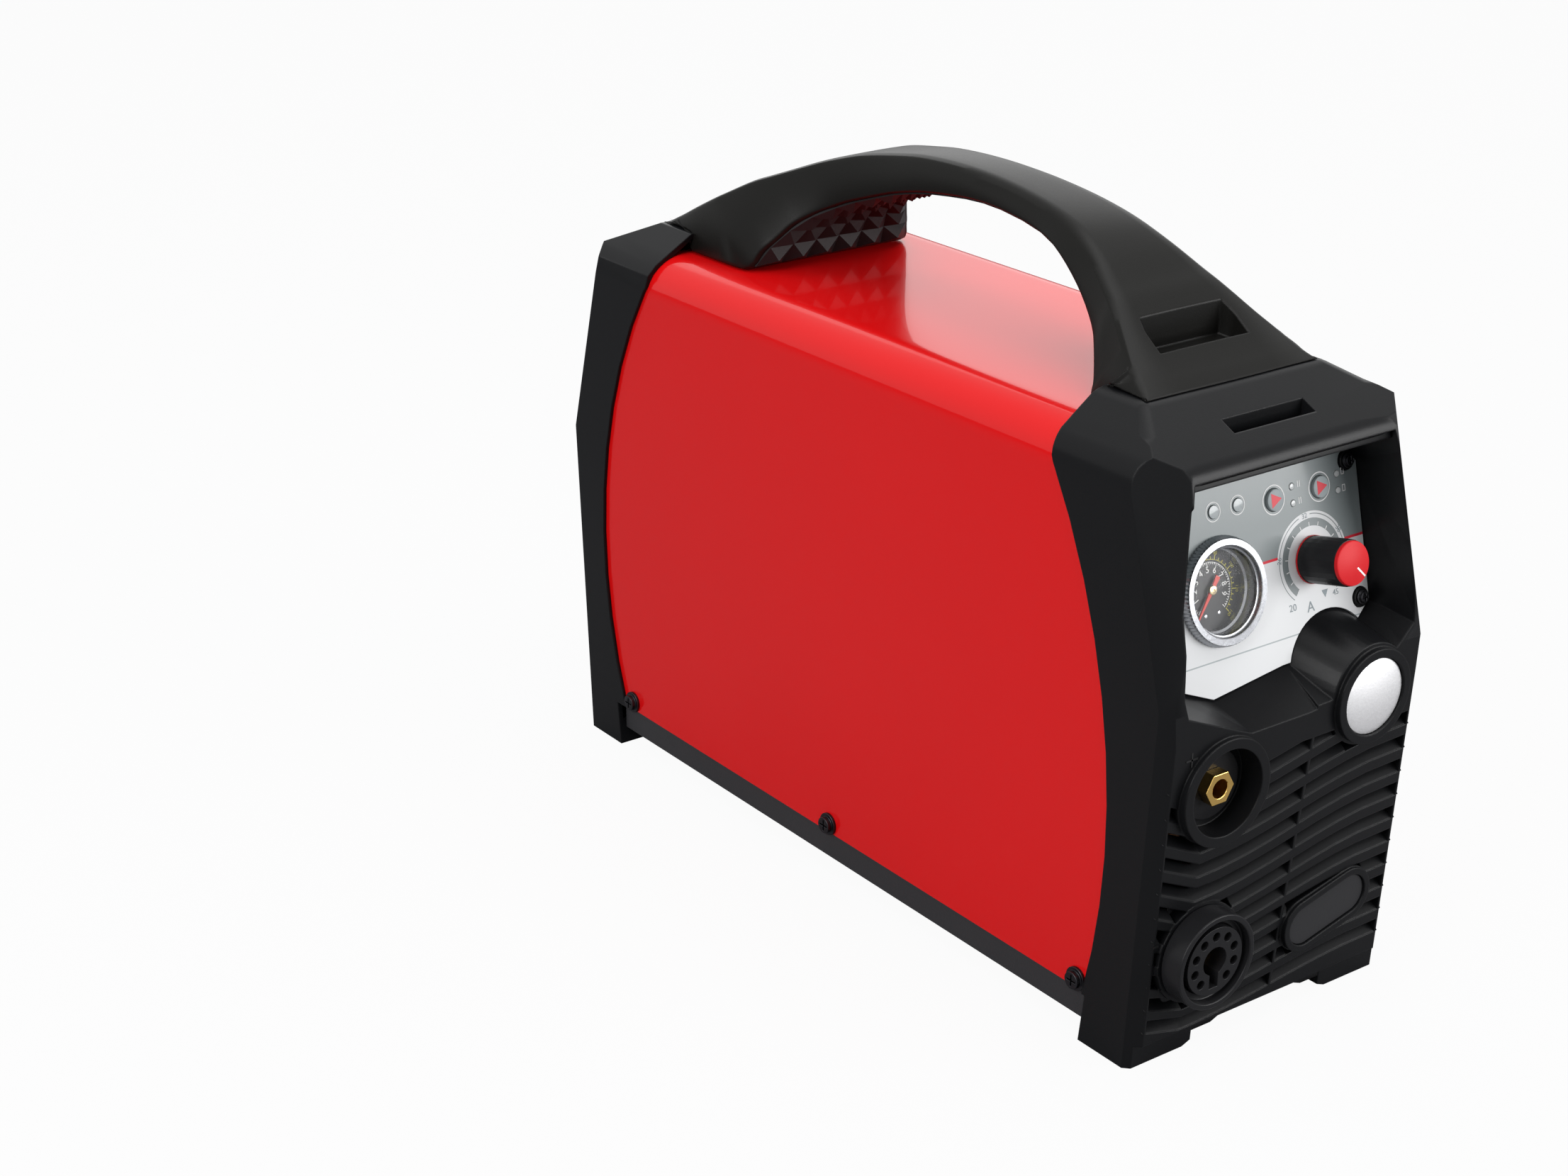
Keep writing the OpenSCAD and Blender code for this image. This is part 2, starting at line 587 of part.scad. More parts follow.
module gauge_bracket() color("#a8a9ad") on_panel(gauge_at) difference() {
    translate([-7, -gauge_case_d / 2 - 4, -gauge_depth - 3])
        cube([14, gauge_case_d + 8, gauge_depth + 3 - panel_t]);
    translate([-8, -gauge_case_d / 2 - 2, -gauge_depth]) cube([16, gauge_case_d + 4, gauge_depth]);
    translate([0, 0, -gauge_depth - 4]) cylinder(d = 10.4, h = 10);
}

// ---------- current knob ----------
module current_knob() color("#131315") on_panel(knob_at) difference() {
    union() {
        translate([0, 0, run_gap]) cylinder(d = knob_d, h = knob_l - run_gap);
        for (a = [0:15:345]) rotate(a) translate([knob_d / 2, 0, 1.5])
            cylinder(d = 0.9, h = knob_l - 4, $fn = 16);
    }
    translate([0, 0, -1]) cylinder(d = spindle_d, h = 15);
    translate([0, 0, -1]) cylinder(d = 11, h = 3 + 2);
}
module knob_cap() color("#d8242a") on_panel(knob_at) translate([0, 0, knob_l])
    cylinder(d = knob_d - 1, h = knob_cap_t);
module knob_spindle() color("#b9bcc0") on_panel(knob_at) translate([0, 0, -8 - panel_t])
    cylinder(d = spindle_d, h = 14 + 8 + panel_t);
module potentiometer() color("#5b5f66") on_panel(knob_at) difference() {
    union() {
        translate([0, 0, -panel_t - 14]) cylinder(d = 24, h = 8);
        translate([0, 0, -panel_t - 6.01]) cylinder(d = 14, h = 6.01);
        translate([0, 0, -panel_t]) cylinder(d = 9.6, h = panel_t + 1.5);
    }
    translate([0, 0, -panel_t - 10]) cylinder(d = spindle_d + 2 * run_gap, h = 30);
}

// ---------- buttons, lamps and board ----------
module push_button(at) on_panel(at) {
    translate([0, 0, -panel_t - 3.4]) cylinder(d = button_d, h = panel_t + 3.4 + 1.6);
    translate([0, 0, -panel_t - 3.4]) cylinder(d = button_d + 3, h = 3);
}
module mode_button() color("#9aa0a6") push_button(mode_at);
module air_button() color("#9aa0a6") push_button(air_at);
module lamp_lenses() color("#dfe3e6") for (p = lamps_at) on_panel(p) translate([0, 0, -board_gap])
    cylinder(d = lamp_d, h = board_gap + 0.8);
module mode_leds() color("#dfe3e6") for (p = leds_at) on_panel(p) translate([0, 0, -board_gap])
    cylinder(d = led_d, h = board_gap + 0.4);
board_gap = panel_t + 3.4 + button_travel + run_gap;
module control_board() color("#1f6b3a") on_panel() {
    difference() {
        translate([-30, 18, -board_gap - 1.6]) cube([90, 20.5, 1.6]);
        for (x = [4, 35]) translate([x, 21, -20]) cylinder(d = 3, h = 30);
    }
    for (p = [[-30 + 3, 36], [30, 36]]) translate([p[0], p[1], -board_gap])
        cylinder(d = 4, h = board_gap - panel_t);
}

// ---------- badge, blanking plate and sockets ----------
badge_crown = 4.3;                   // thickness of the badge in its middle
badge_edge = 2.3;                    // thickness at its edge
badge_r = (pow(badge_d / 2, 2) + pow(badge_crown - badge_edge, 2)) / (2 * (badge_crown - badge_edge));
module badge_disc() color("#dcdde0") facing_front(badge_at[0], badge_floor_y, badge_at[1])
    rotate_extrude()
    polygon(concat([[0, 0], [badge_d / 2, 0]],
        arc(0, badge_crown - badge_r, badge_r, acos(badge_d / 2 / badge_r), 90, 8)));
module blanking_plate() color("#2a2a2e") translate([plate_at[0], plate_face + 0.5, plate_at[1]])
    rotate([90, -plate_turn, 0]) linear_extrude(1.8) stadium(plate_l, plate_h);

hex_af = 15;
module earth_socket() color("#161618") difference() {
    union() {
        facing_front(earth_at[0], earth_floor_y, earth_at[1]) cylinder(d = 34, h = 2);
        facing_front(earth_at[0], earth_floor_y + neck_l, earth_at[1])
            cylinder(d = earth_neck_d - 0.2, h = neck_l + 1);
    }
    facing_front(earth_at[0], earth_floor_y + 40, earth_at[1]) cylinder(d = 12.2, h = 60);
}
module earth_contact() color("#c9972b") difference() {
    union() {
        facing_front(earth_at[0], earth_floor_y - 2, earth_at[1])
            cylinder(d = hex_af / cos(30), h = 6, $fn = 6);
        facing_front(earth_at[0], earth_floor_y + 34, earth_at[1]) cylinder(d = 12, h = 36);
    }
    facing_front(earth_at[0], earth_floor_y + 24, earth_at[1]) cylinder(d = earth_bore_d, h = 60);
}
neck_l = 22;                         // how far the earth socket reaches behind its cup
bar_t = 2;
module earth_nuts() color("#b9bcc0") {
    difference() {
        facing_front(earth_at[0], earth_floor_y + wall + 5, earth_at[1])
            cylinder(d = 26 / cos(30), h = 5, $fn = 6);
        facing_front(earth_at[0], earth_floor_y + 40, earth_at[1]) cylinder(d = earth_neck_d, h = 60);
    }
    difference() {
        facing_front(earth_at[0], earth_floor_y + neck_l + bar_t + 5, earth_at[1])
            cylinder(d = 19 / cos(30), h = 5, $fn = 6);
        facing_front(earth_at[0], earth_floor_y + 40, earth_at[1]) cylinder(d = 12.1, h = 60);
    }
}

torch_tip_y = -nose - reach;
module torch_socket() color("#18181b") difference() {
    union() {
        facing_front(torch_at[0], torch_face - 1.5, torch_at[1])
            cylinder(d = torch_d, h = torch_face - 1.5 - torch_tip_y);
        facing_front(torch_at[0], torch_face + 16, torch_at[1]) cylinder(d = torch_d - 6.2, h = 18);
    }
    facing_front(torch_at[0], torch_face + 30, torch_at[1]) cylinder(d = torch_face_d + 0.3, h = 80);
    facing_front(torch_at[0], torch_tip_y + 5, torch_at[1]) cylinder(d = torch_d - 6, h = 20);
}
module torch_insulator() color("#1c1c1f") difference() {
    facing_front(torch_at[0], torch_face + 12, torch_at[1])
        cylinder(d = torch_face_d, h = 12 + torch_face - torch_tip_y - 1.5);
    for (k = [0:8]) facing_front(torch_at[0], torch_face - 4, torch_at[1])
        rotate(-50 + 280 * k / 8) translate([12.5, 0, 0]) cylinder(d = 4.4, h = 60, $fn = 24);
    facing_front(torch_at[0], torch_face + 30, torch_at[1]) cylinder(d = 14, h = 80);
    facing_front(torch_at[0], torch_face - 2, torch_at[1]) translate([-2.6, -13.5, 0])
        cube([5.2, 10, 60]);
}
module torch_contacts() color("#c9972b") {
    difference() {
        facing_front(torch_at[0], torch_face + 32, torch_at[1]) cylinder(d = 13.9, h = 32);
        facing_front(torch_at[0], torch_face + 24, torch_at[1]) cylinder(d = 8, h = 60);
    }
    for (k = [0:8]) facing_front(torch_at[0], torch_face - 4, torch_at[1])
        rotate(-50 + 280 * k / 8) translate([12.5, 0, 0]) cylinder(d = 2.4, h = 2, $fn = 24);
}
module torch_nut() color("#2b2b2f") difference() {
    facing_front(torch_at[0], torch_seat_y + 6, torch_at[1])
        cylinder(d = nut_af / cos(30), h = 6, $fn = 6);
    facing_front(torch_at[0], torch_face + 40, torch_at[1]) cylinder(d = torch_d - 6.1, h = 80);
}

// ---------- rear panel ----------
module rear_panel() color("#3a3b3f") difference() {
    translate([-window_hw + 0.2, rear_y - sheet_t, window_low + 0.2])
        cube([2 * window_hw - 0.4, sheet_t, window_top - window_low - 0.4]);
    facing_rear(0, rear_y - 30, fan_z) cylinder(r = fan_bore_r, h = 60);
    for (x = [-1, 1], z = [-1, 1]) facing_rear(x * fan_hole, rear_y - 30, fan_z + z * fan_hole)
        cylinder(d = 4.4, h = 60);
    for (p = rear_screws_at) facing_rear(p[0], rear_y - 30, p[1]) cylinder(d = 3.4, h = 60);
    translate([switch_at[0] - 13.6, 0, switch_at[1] - 10.6]) cube([27.2, nose, 21.2]);
    facing_rear(gland_at[0], 0, gland_at[1]) cylinder(d = 20.4, h = nose);
    facing_rear(inlet_at[0], 0, inlet_at[1]) cylinder(d = 14.4, h = nose);
    facing_rear(reg_at[0], 0, reg_at[1]) cylinder(d = 22.4, h = nose);
}
module rear_panel_screws() color("#101012") for (p = rear_screws_at) facing_rear(p[0], rear_y, p[1])
    washer_screw(3, 7, 2.4, 9);

// ---------- fan ----------
fan_bore_r = fan_w / 2 - fan_rim;
fan_blade_r = fan_bore_r - 1;
fan_hole = fan_w / 2 - 7.5;          // fixing holes, from the fan's axis
fan_y = rear_y - sheet_t - fan_t;
module fan_frame() color("#1a1a1c") {
    difference() {
        translate([-fan_w / 2, fan_y, fan_z - fan_w / 2]) cube([fan_w, fan_t, fan_w]);
        facing_rear(0, fan_y - 1, fan_z) cylinder(r = fan_bore_r, h = fan_t + 2);
        for (x = [-1, 1], z = [-1, 1])
            facing_rear(x * fan_hole, fan_y - 1, fan_z + z * fan_hole) cylinder(d = 4.3, h = fan_t + 2);
    }
    difference() {
        union() {
            facing_rear(0, fan_y, fan_z) cylinder(d = 40, h = 4);
            for (a = [0:90:270]) translate([0, fan_y, fan_z]) rotate([0, a, 0])
                translate([10, 0, -3]) cube([fan_bore_r - 8, 3, 6]);
        }
        facing_rear(0, fan_y - 1, fan_z) cylinder(d = 5, h = 10);
    }
}
module fan_rotor() color("#2c2c30") {
    difference() {
        facing_rear(0, fan_y + 4 + run_gap, fan_z) cylinder(d = 40, h = fan_t - 6);
        facing_rear(0, fan_y + 3, fan_z) cylinder(d = 33, h = fan_t - 6);
    }
    facing_rear(0, fan_y + 0.5, fan_z) cylinder(d = 5 - 2 * 0.05, h = fan_t - 4);
    for (k = [0:6]) translate([0, fan_y + fan_t / 2 + 1, fan_z]) rotate([0, k * 360 / 7, 0])
        translate([19, -1, 0]) rotate([35, 0, 0]) translate([0, -0.9, -9])
            cube([fan_blade_r - 20, 1.8, 18]);
}
module fan_guard() color("#c3c5c8") {
    for (r = [fan_blade_r - 41:10:fan_blade_r - 1]) facing_rear(0, rear_y + 3, fan_z)
        rotate_extrude($fn = 72) translate([r, 0]) circle(d = 2, $fn = 16);
    for (x = [-1, 1], z = [-1, 1]) difference() {
        hull() {
            facing_rear(x * fan_hole, rear_y, fan_z + z * fan_hole) cylinder(d = 9, h = 2, $fn = 24);
            facing_rear(x * fan_hole * 0.78, rear_y, fan_z + z * fan_hole * 0.78)
                cylinder(d = 5, h = 2, $fn = 24);
        }
        facing_rear(x * fan_hole, rear_y - 1, fan_z + z * fan_hole) cylinder(d = 4.4, h = 6);
    }
    for (a = [45, 135]) translate([0, rear_y + 1.6, fan_z]) rotate([0, a, 0]) rotate([0, 90, 0])
        cylinder(d = 2, h = 2 * fan_hole * 1.12, center = true, $fn = 16);
}
module fan_screws() color("#101012") for (x = [-1, 1], z = [-1, 1])
    facing_rear(x * fan_hole, rear_y + 2, fan_z + z * fan_hole)
        washer_screw(4, 8, 2.6, fan_t + sheet_t + 2);

// ---------- mains switch and gland ----------
module mains_switch() color("#161618") difference() {
    union() {
        translate([switch_at[0] - 15.5, rear_y, switch_at[1] - 12.5]) cube([31, 2, 25]);
        translate([switch_at[0] - 13.4, rear_y - 24, switch_at[1] - 10.4]) cube([26.8, 24.01, 20.8]);
    }
    translate([switch_at[0] - 11.6, rear_y - 8, switch_at[1] - 8]) cube([23.2, 40, 16]);
}
rocker_tilt = 9;
module switch_rocker() color("#c3161c") translate([switch_at[0], rear_y - 1, switch_at[1]])
    rotate([0, 0, rocker_tilt])
    difference() {
        intersection() {
            translate([-10, -6.2, -8 + run_gap]) cube([20, 11, 16 - 2 * run_gap]);
            union() {
                cylinder(r = 7, h = 16, center = true);
                translate([-10, -2.4, -8]) cube([20, 7.2, 16]);
            }
        }
        translate([0, 30, 0]) cylinder(r = 26.6, h = 40, center = true, $fn = 96);
    }
gland_out = 22;
module cable_gland() color("#1b1b1e") difference() {
    union() {
        facing_rear(gland_at[0], rear_y, gland_at[1]) cylinder(d = 26 / cos(30), h = 6, $fn = 6);
        facing_rear(gland_at[0], rear_y + 5.99, gland_at[1]) cylinder(d = 22, h = gland_out - 10);
        facing_rear(gland_at[0], rear_y + gland_out - 4.01, gland_at[1])
            cylinder(d1 = 22, d2 = 15, h = 4);
        facing_rear(gland_at[0], rear_y - 12, gland_at[1]) cylinder(d = 20, h = 12.01);
    }
    facing_rear(gland_at[0], rear_y - 20, gland_at[1]) cylinder(d = 10, h = 60);
}
module gland_nut() color("#1b1b1e") difference() {
    facing_rear(gland_at[0], rear_y - sheet_t - 5, gland_at[1])
        cylinder(d = 25 / cos(30), h = 5, $fn = 6);
    facing_rear(gland_at[0], rear_y - 20, gland_at[1]) cylinder(d = 20.1, h = 40);
}

// ---------- air side ----------
inlet_tip_y = nose + reach;
module air_inlet() color("#c7a04a") difference() {
    union() {
        facing_rear(inlet_at[0], rear_y, inlet_at[1]) cylinder(d = 19 / cos(30), h = 7, $fn = 6);
        facing_rear(inlet_at[0], rear_y - sheet_t - 8, inlet_at[1]) cylinder(d = 14, h = 12);
        facing_rear(inlet_at[0], rear_y + 6.99, inlet_at[1])
            cylinder(d = 8, h = inlet_tip_y - rear_y - 7);
        facing_rear(inlet_at[0], inlet_tip_y - 6, inlet_at[1]) cylinder(d1 = 10.5, d2 = 8, h = 6);
        facing_rear(inlet_at[0], inlet_tip_y - 12, inlet_at[1]) cylinder(d1 = 10.5, d2 = 8, h = 6);
    }
    facing_rear(inlet_at[0], rear_y - 20, inlet_at[1]) cylinder(d = 5, h = 80);
}
reg_back_y = rear_y - sheet_t - 42;
module regulator_body() color("#8f9297") difference() {
    union() {
        translate([reg_at[0] - 20, reg_back_y, inlet_at[1] - 16])
            cube([40, 42, reg_at[1] - inlet_at[1] + 34]);
        facing_rear(reg_at[0], rear_y - sheet_t - 0.01, reg_at[1]) cylinder(d = 22, h = sheet_t + 6);
    }
    facing_rear(inlet_at[0], rear_y - sheet_t - 8, inlet_at[1]) cylinder(d = 14, h = 20);
    facing_rear(reg_at[0], rear_y - 18, reg_at[1]) cylinder(d = 8 + 2 * run_gap, h = 60);
    translate([reg_at[0] - 30, hose_y, hose_z]) rotate([0, 90, 0]) cylinder(d = hose_d, h = 16);
}
module regulator_stem() color("#c7a04a") facing_rear(reg_at[0], rear_y - 17.5, reg_at[1])
    cylinder(d = 8, h = 17.5 + 16);
module regulator_knob() color("#131315") difference() {
    union() {
        facing_rear(reg_at[0], rear_y + 6 + run_gap, reg_at[1]) cylinder(d = 32, h = 15);
        for (a = [0:20:340]) facing_rear(reg_at[0], rear_y + 6 + run_gap, reg_at[1]) rotate(a)
            translate([16, 0, 0]) cylinder(d = 2, h = 12, $fn = 16);
    }
    facing_rear(reg_at[0], rear_y, reg_at[1]) cylinder(d = 8.1, h = 18.5);
}
valve_at = [-hw + 18, -nose + 104];
module solenoid_valve() color("#2f5f9e") translate([valve_at[0], valve_at[1], floor_z]) difference() {
    union() {
        translate([-13, -20, 0]) cube([26, 40, 28]);
        translate([0, 0, 27.99]) cylinder(d = 24, h = 30);
    }
    translate([0, 0, port_h]) for (s = [-1, 1]) scale([1, s, 1]) rotate([90, 0, 0]) translate([0, 0, 14])
        cylinder(d = hose_d, h = 10);
}
hose_z = 205;
hose_y = reg_back_y + 10;
hose_d = 8;
hose_r = 12;                         // bend radius of the hose
port_h = 18;                         // height of the valve's ports above the tray
port_in = 14;                        // where the hoses end, from the middle of the valve
sweep_r = 20;                        // bend radius of the hose's step up to the torch socket
side_step = torch_at[0] - valve_at[0];
rise = torch_at[1] - floor_z - port_h;
step_l = norm([side_step, rise]);
sweep_a = acos(1 - step_l / 2 / sweep_r);
sweep_y = torch_face + 32 + hose_d / 2;
hose_x = valve_at[0];
hose_low = floor_z + port_h;
long_hose = concat(
    [[reg_at[0] - 18, hose_y, hose_z]],
    [for (a = [90:15:180])
        [hose_x + hose_r + hose_r * cos(a), hose_y, hose_z - hose_r + hose_r * sin(a)]],
    [for (a = [0:15:90])
        [hose_x, hose_y - hose_r + hose_r * cos(a), hose_low + hose_r - hose_r * sin(a)]],
    [[hose_x, valve_at[1] + port_in + hose_d / 2, hose_low]]);
short_hose = concat(
    [[hose_x, valve_at[1] - port_in - hose_d / 2, hose_low]],
    [for (k = [0:4]) let (a = sweep_a * k / 4, t = sweep_r * (1 - cos(a)) / step_l)
        [hose_x + side_step * t, sweep_y + sweep_r * (2 * sin(sweep_a) - sin(a)), hose_low + rise * t]],
    [for (k = [3:-1:0]) let (a = sweep_a * k / 4, t = 1 - sweep_r * (1 - cos(a)) / step_l)
        [hose_x + side_step * t, sweep_y + sweep_r * sin(a), hose_low + rise * t]]);
module hose(points) for (j = [1:len(points) - 1]) hull() for (k = [j - 1, j])
    translate(points[k]) sphere(d = hose_d, $fn = 16);
module air_hose() color("#2356a8") {
    hose(long_hose);
    hose(short_hose);
}

// ---------- inverter ----------
board_y0 = -nose + 134;
board_y1 = rear_y - 78;
sink_h = 74;
module heat_sinks() color("#a9adb2") for (s = [-1, 1]) translate([s * 30, 0, floor_z]) {
    translate([-26, board_y0 + 20, sink_h - 6]) cube([52, board_y1 - board_y0 - 40, 6]);
    for (k = [0:8]) translate([-26 + k * 6.3, board_y0 + 20, 0])
        cube([1.6, board_y1 - board_y0 - 40, sink_h - 5.99]);
}
module power_modules() color("#232326") for (s = [-1, 1], k = [0:2])
    translate([s * 30 - 17, board_y0 + 34 + k * 46, floor_z + sink_h]) cube([34, 30, 10]);
board_z = floor_z + sink_h + 10;
board_t = 2;
module main_board() color("#1f6b3a") difference() {
    translate([-66, board_y0, board_z]) cube([128, board_y1 - board_y0, board_t]);
    mirrored_x() for (y = [board_y0 + 8, board_y1 - 8]) translate([56, y, 0]) cylinder(d = 4, h = 200);
}
module capacitors() color("#23315e") for (k = [0:3], s = [0, 1])
    translate([-24 - s * 28, board_y0 + 34 + k * 36, board_z + board_t]) cylinder(d = 25, h = 45);
module transformer() color("#b87333") translate([30, board_y0 + 60, board_z + board_t]) {
    translate([-25, -22, 0]) cube([50, 44, 8]);
    translate([0, 0, 7.99]) cylinder(d = 46, h = 34);
    translate([-25, -8, 7.99]) cube([50, 16, 38]);
}
module pfc_choke() color("#a5722c") translate([30, board_y0 + 142, board_z + board_t]) rotate_extrude()
    translate([18, 9]) circle(d = 18);
module pilot_relay() color("#e6e2d3") translate([10, board_y0 + 8, board_z + board_t]) cube([30, 20, 26]);
bar_w = 18;
bar_y = earth_floor_y + neck_l;
module output_busbar() color("#b87333") {
    difference() {
        translate([earth_at[0] - bar_w / 2, bar_y, board_z + board_t])
            cube([bar_w, bar_t, earth_at[1] + 10 - board_z - board_t]);
        facing_front(earth_at[0], earth_floor_y + 40, earth_at[1]) cylinder(d = 12.1, h = 60);
    }
    translate([earth_at[0] - bar_w / 2, bar_y, board_z + board_t])
        cube([bar_w, board_y0 + 18 - bar_y, bar_t]);
}

base_tray();
cover();
front_bezel();
rear_bezel();
handle();
handle_grip();
control_panel();
panel_screws();
gauge_case();
gauge_dial();
gauge_lens();
gauge_needle();
gauge_bracket();
current_knob();
knob_cap();
knob_spindle();
potentiometer();
mode_button();
air_button();
lamp_lenses();
mode_leds();
control_board();
badge_disc();
blanking_plate();
earth_socket();
earth_contact();
earth_nuts();
torch_socket();
torch_insulator();
torch_contacts();
torch_nut();
cover_screws();
bezel_screws();
handle_screws();
rear_panel();
rear_panel_screws();
fan_frame();
fan_rotor();
fan_guard();
fan_screws();
mains_switch();
switch_rocker();
cable_gland();
gland_nut();
air_inlet();
regulator_body();
regulator_stem();
regulator_knob();
solenoid_valve();
air_hose();
main_board();
heat_sinks();
power_modules();
transformer();
pfc_choke();
capacitors();
pilot_relay();
output_busbar();
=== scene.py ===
import json
import math
import bmesh
import bpy
from mathutils import Matrix, Vector

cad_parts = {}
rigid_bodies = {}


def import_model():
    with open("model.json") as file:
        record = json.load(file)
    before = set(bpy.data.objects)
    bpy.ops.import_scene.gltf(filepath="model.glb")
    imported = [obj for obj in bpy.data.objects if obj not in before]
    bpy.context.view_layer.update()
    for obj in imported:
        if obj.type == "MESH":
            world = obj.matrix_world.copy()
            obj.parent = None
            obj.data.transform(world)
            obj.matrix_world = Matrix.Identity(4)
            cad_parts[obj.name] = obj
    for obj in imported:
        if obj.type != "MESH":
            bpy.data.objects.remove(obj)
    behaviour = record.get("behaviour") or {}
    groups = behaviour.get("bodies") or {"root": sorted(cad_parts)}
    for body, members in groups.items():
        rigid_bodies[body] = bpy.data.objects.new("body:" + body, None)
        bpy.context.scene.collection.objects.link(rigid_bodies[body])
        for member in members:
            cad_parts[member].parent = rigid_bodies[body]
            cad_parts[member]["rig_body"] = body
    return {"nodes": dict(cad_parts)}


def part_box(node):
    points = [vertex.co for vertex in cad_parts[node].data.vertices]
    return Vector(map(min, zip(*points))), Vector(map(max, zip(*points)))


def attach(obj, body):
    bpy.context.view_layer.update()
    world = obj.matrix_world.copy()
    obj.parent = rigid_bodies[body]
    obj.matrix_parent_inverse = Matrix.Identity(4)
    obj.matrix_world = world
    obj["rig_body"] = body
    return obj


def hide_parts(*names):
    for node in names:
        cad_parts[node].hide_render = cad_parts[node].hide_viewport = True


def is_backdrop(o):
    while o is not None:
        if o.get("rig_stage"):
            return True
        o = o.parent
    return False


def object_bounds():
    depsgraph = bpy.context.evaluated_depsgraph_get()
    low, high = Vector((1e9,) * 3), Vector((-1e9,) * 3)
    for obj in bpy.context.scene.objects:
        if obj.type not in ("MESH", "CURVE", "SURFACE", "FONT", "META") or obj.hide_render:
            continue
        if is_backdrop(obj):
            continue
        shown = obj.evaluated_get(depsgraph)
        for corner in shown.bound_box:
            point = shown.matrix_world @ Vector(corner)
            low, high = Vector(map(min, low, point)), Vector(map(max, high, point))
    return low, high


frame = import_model()
cad_low, cad_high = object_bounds()

# ---------- the room ----------
# A pale floor and a white room, lit by a soft light overhead, one window-like lamp at the left,
# one in front and a weak one behind. The floor shows almost white and keeps the shadow.


class Value:
    """A shader socket that can be used in sums."""

    def __init__(self, finish, socket):
        self.finish = finish
        self.socket = socket

    def maths(self, operation, *others):
        node = self.finish.node("ShaderNodeMath", {"operation": operation}, self, *others)
        return self.finish.out(node)

    def __add__(self, other):
        return self.maths("ADD", other)

    def __radd__(self, other):
        return self.maths("ADD", other)

    def __sub__(self, other):
        return self.maths("SUBTRACT", other)

    def __rsub__(self, other):
        return (self * -1.0) + other

    def __mul__(self, other):
        return self.maths("MULTIPLY", other)

    def __rmul__(self, other):
        return self.maths("MULTIPLY", other)

    def __truediv__(self, other):
        return self.maths("DIVIDE", other)

    def __lt__(self, other):
        return self.maths("LESS_THAN", other)

    def __gt__(self, other):
        return self.maths("GREATER_THAN", other)

    def __abs__(self):
        return self.maths("ABSOLUTE")


class Finish:
    """One material, built node by node."""

    def __init__(self, name):
        self.material = bpy.data.materials.new(name)
        self.material.use_nodes = True
        self.tree = self.material.node_tree
        self.tree.nodes.clear()
        self.surface = self.tree.nodes.new("ShaderNodeOutputMaterial")

    def node(self, kind, settings, *inputs, **named):
        node = self.tree.nodes.new(kind)
        for key, value in settings.items():
            if key == "stops":
                while len(node.color_ramp.elements) < len(value):
                    node.color_ramp.elements.new(0.5)
                for element, (place, colour) in zip(node.color_ramp.elements, value):
                    element.position = place
                    element.color = colour
            else:
                setattr(node, key, value)
        for key, value in [*enumerate(inputs), *named.items()]:
            socket = node.inputs[key if isinstance(key, int) else key.replace("_", " ")]
            if isinstance(value, Value):
                self.tree.links.new(value.socket, socket)
            else:
                socket.default_value = value
        return node

    def out(self, node, name=0):
        return Value(self, node.outputs[name])

    def place(self, at=(0, 0, 0), turn=(0, 0, 0), scale=(1, 1, 1)):
        """Object coordinates seen from a point, turned, in metres over scale."""
        coords = self.out(self.node("ShaderNodeTexCoord", {}), "Object")
        return self.out(self.node("ShaderNodeMapping", {"vector_type": "TEXTURE"}, coords, at, turn, scale))

    def axes(self, vector):
        node = self.node("ShaderNodeSeparateXYZ", {}, vector)
        return [self.out(node, axis) for axis in "XYZ"]

    def noise(self, vector, scale, detail=3.0, roughness=0.5):
        node = self.node("ShaderNodeTexNoise", {}, Vector=vector, Scale=scale, Detail=detail,
                         Roughness=roughness)
        return self.out(node, "Fac")

    def mix(self, amount, one, two):
        node = self.node("ShaderNodeMix", {"data_type": "RGBA"})
        for index, value in ((0, amount), (6, one), (7, two)):
            if isinstance(value, Value):
                self.tree.links.new(value.socket, node.inputs[index])
            else:
                node.inputs[index].default_value = value
        return self.out(node, 2)

    def bump(self, height, distance, strength=1.0):
        return self.out(self.node("ShaderNodeBump", {}, Strength=strength, Distance=distance,
                                  Height=height))

    def principled(self, **sockets):
        node = self.node("ShaderNodeBsdfPrincipled", {}, **sockets)
        self.tree.links.new(node.outputs[0], self.surface.inputs[0])
        return self.material


def pale_floor():
    floor = Finish("pale_floor")
    matt = floor.out(floor.node("ShaderNodeBsdfDiffuse", {}, Color=(0.26, 0.26, 0.27, 1)))
    glow = floor.out(floor.node("ShaderNodeEmission", {}, Color=(1, 1, 1, 1), Strength=1.05))
    seen = floor.out(floor.node("ShaderNodeLightPath", {}), "Is Camera Ray")
    shown = floor.node("ShaderNodeMixShader", {}, seen * 0.90, matt, glow)
    floor.tree.links.new(shown.outputs[0], floor.surface.inputs[0])
    return floor.material


bm = bmesh.new()
bmesh.ops.create_grid(bm, x_segments=1, y_segments=1, size=14)
mesh = bpy.data.meshes.new("floor")
bm.to_mesh(mesh)
bm.free()
floor = bpy.data.objects.new("floor", mesh)
bpy.context.scene.collection.objects.link(floor)
mesh.materials.append(pale_floor())
floor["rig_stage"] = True

world = bpy.data.worlds.new("room")
bpy.context.scene.world = world
world.use_nodes = True
backdrop = world.node_tree.nodes["Background"]
light_path = world.node_tree.nodes.new("ShaderNodeLightPath")
strength = None
for ray, share in (("Is Glossy Ray", 0.50), ("Is Transmission Ray", 0.62), ("Is Camera Ray", 0.62)):
    adder = world.node_tree.nodes.new("ShaderNodeMath")
    adder.operation = "MULTIPLY_ADD"
    adder.inputs[1].default_value = share
    adder.inputs[2].default_value = 0.36
    world.node_tree.links.new(light_path.outputs[ray], adder.inputs[0])
    if strength:
        world.node_tree.links.new(strength, adder.inputs[2])
    strength = adder.outputs[0]
world.node_tree.links.new(strength, backdrop.inputs[1])
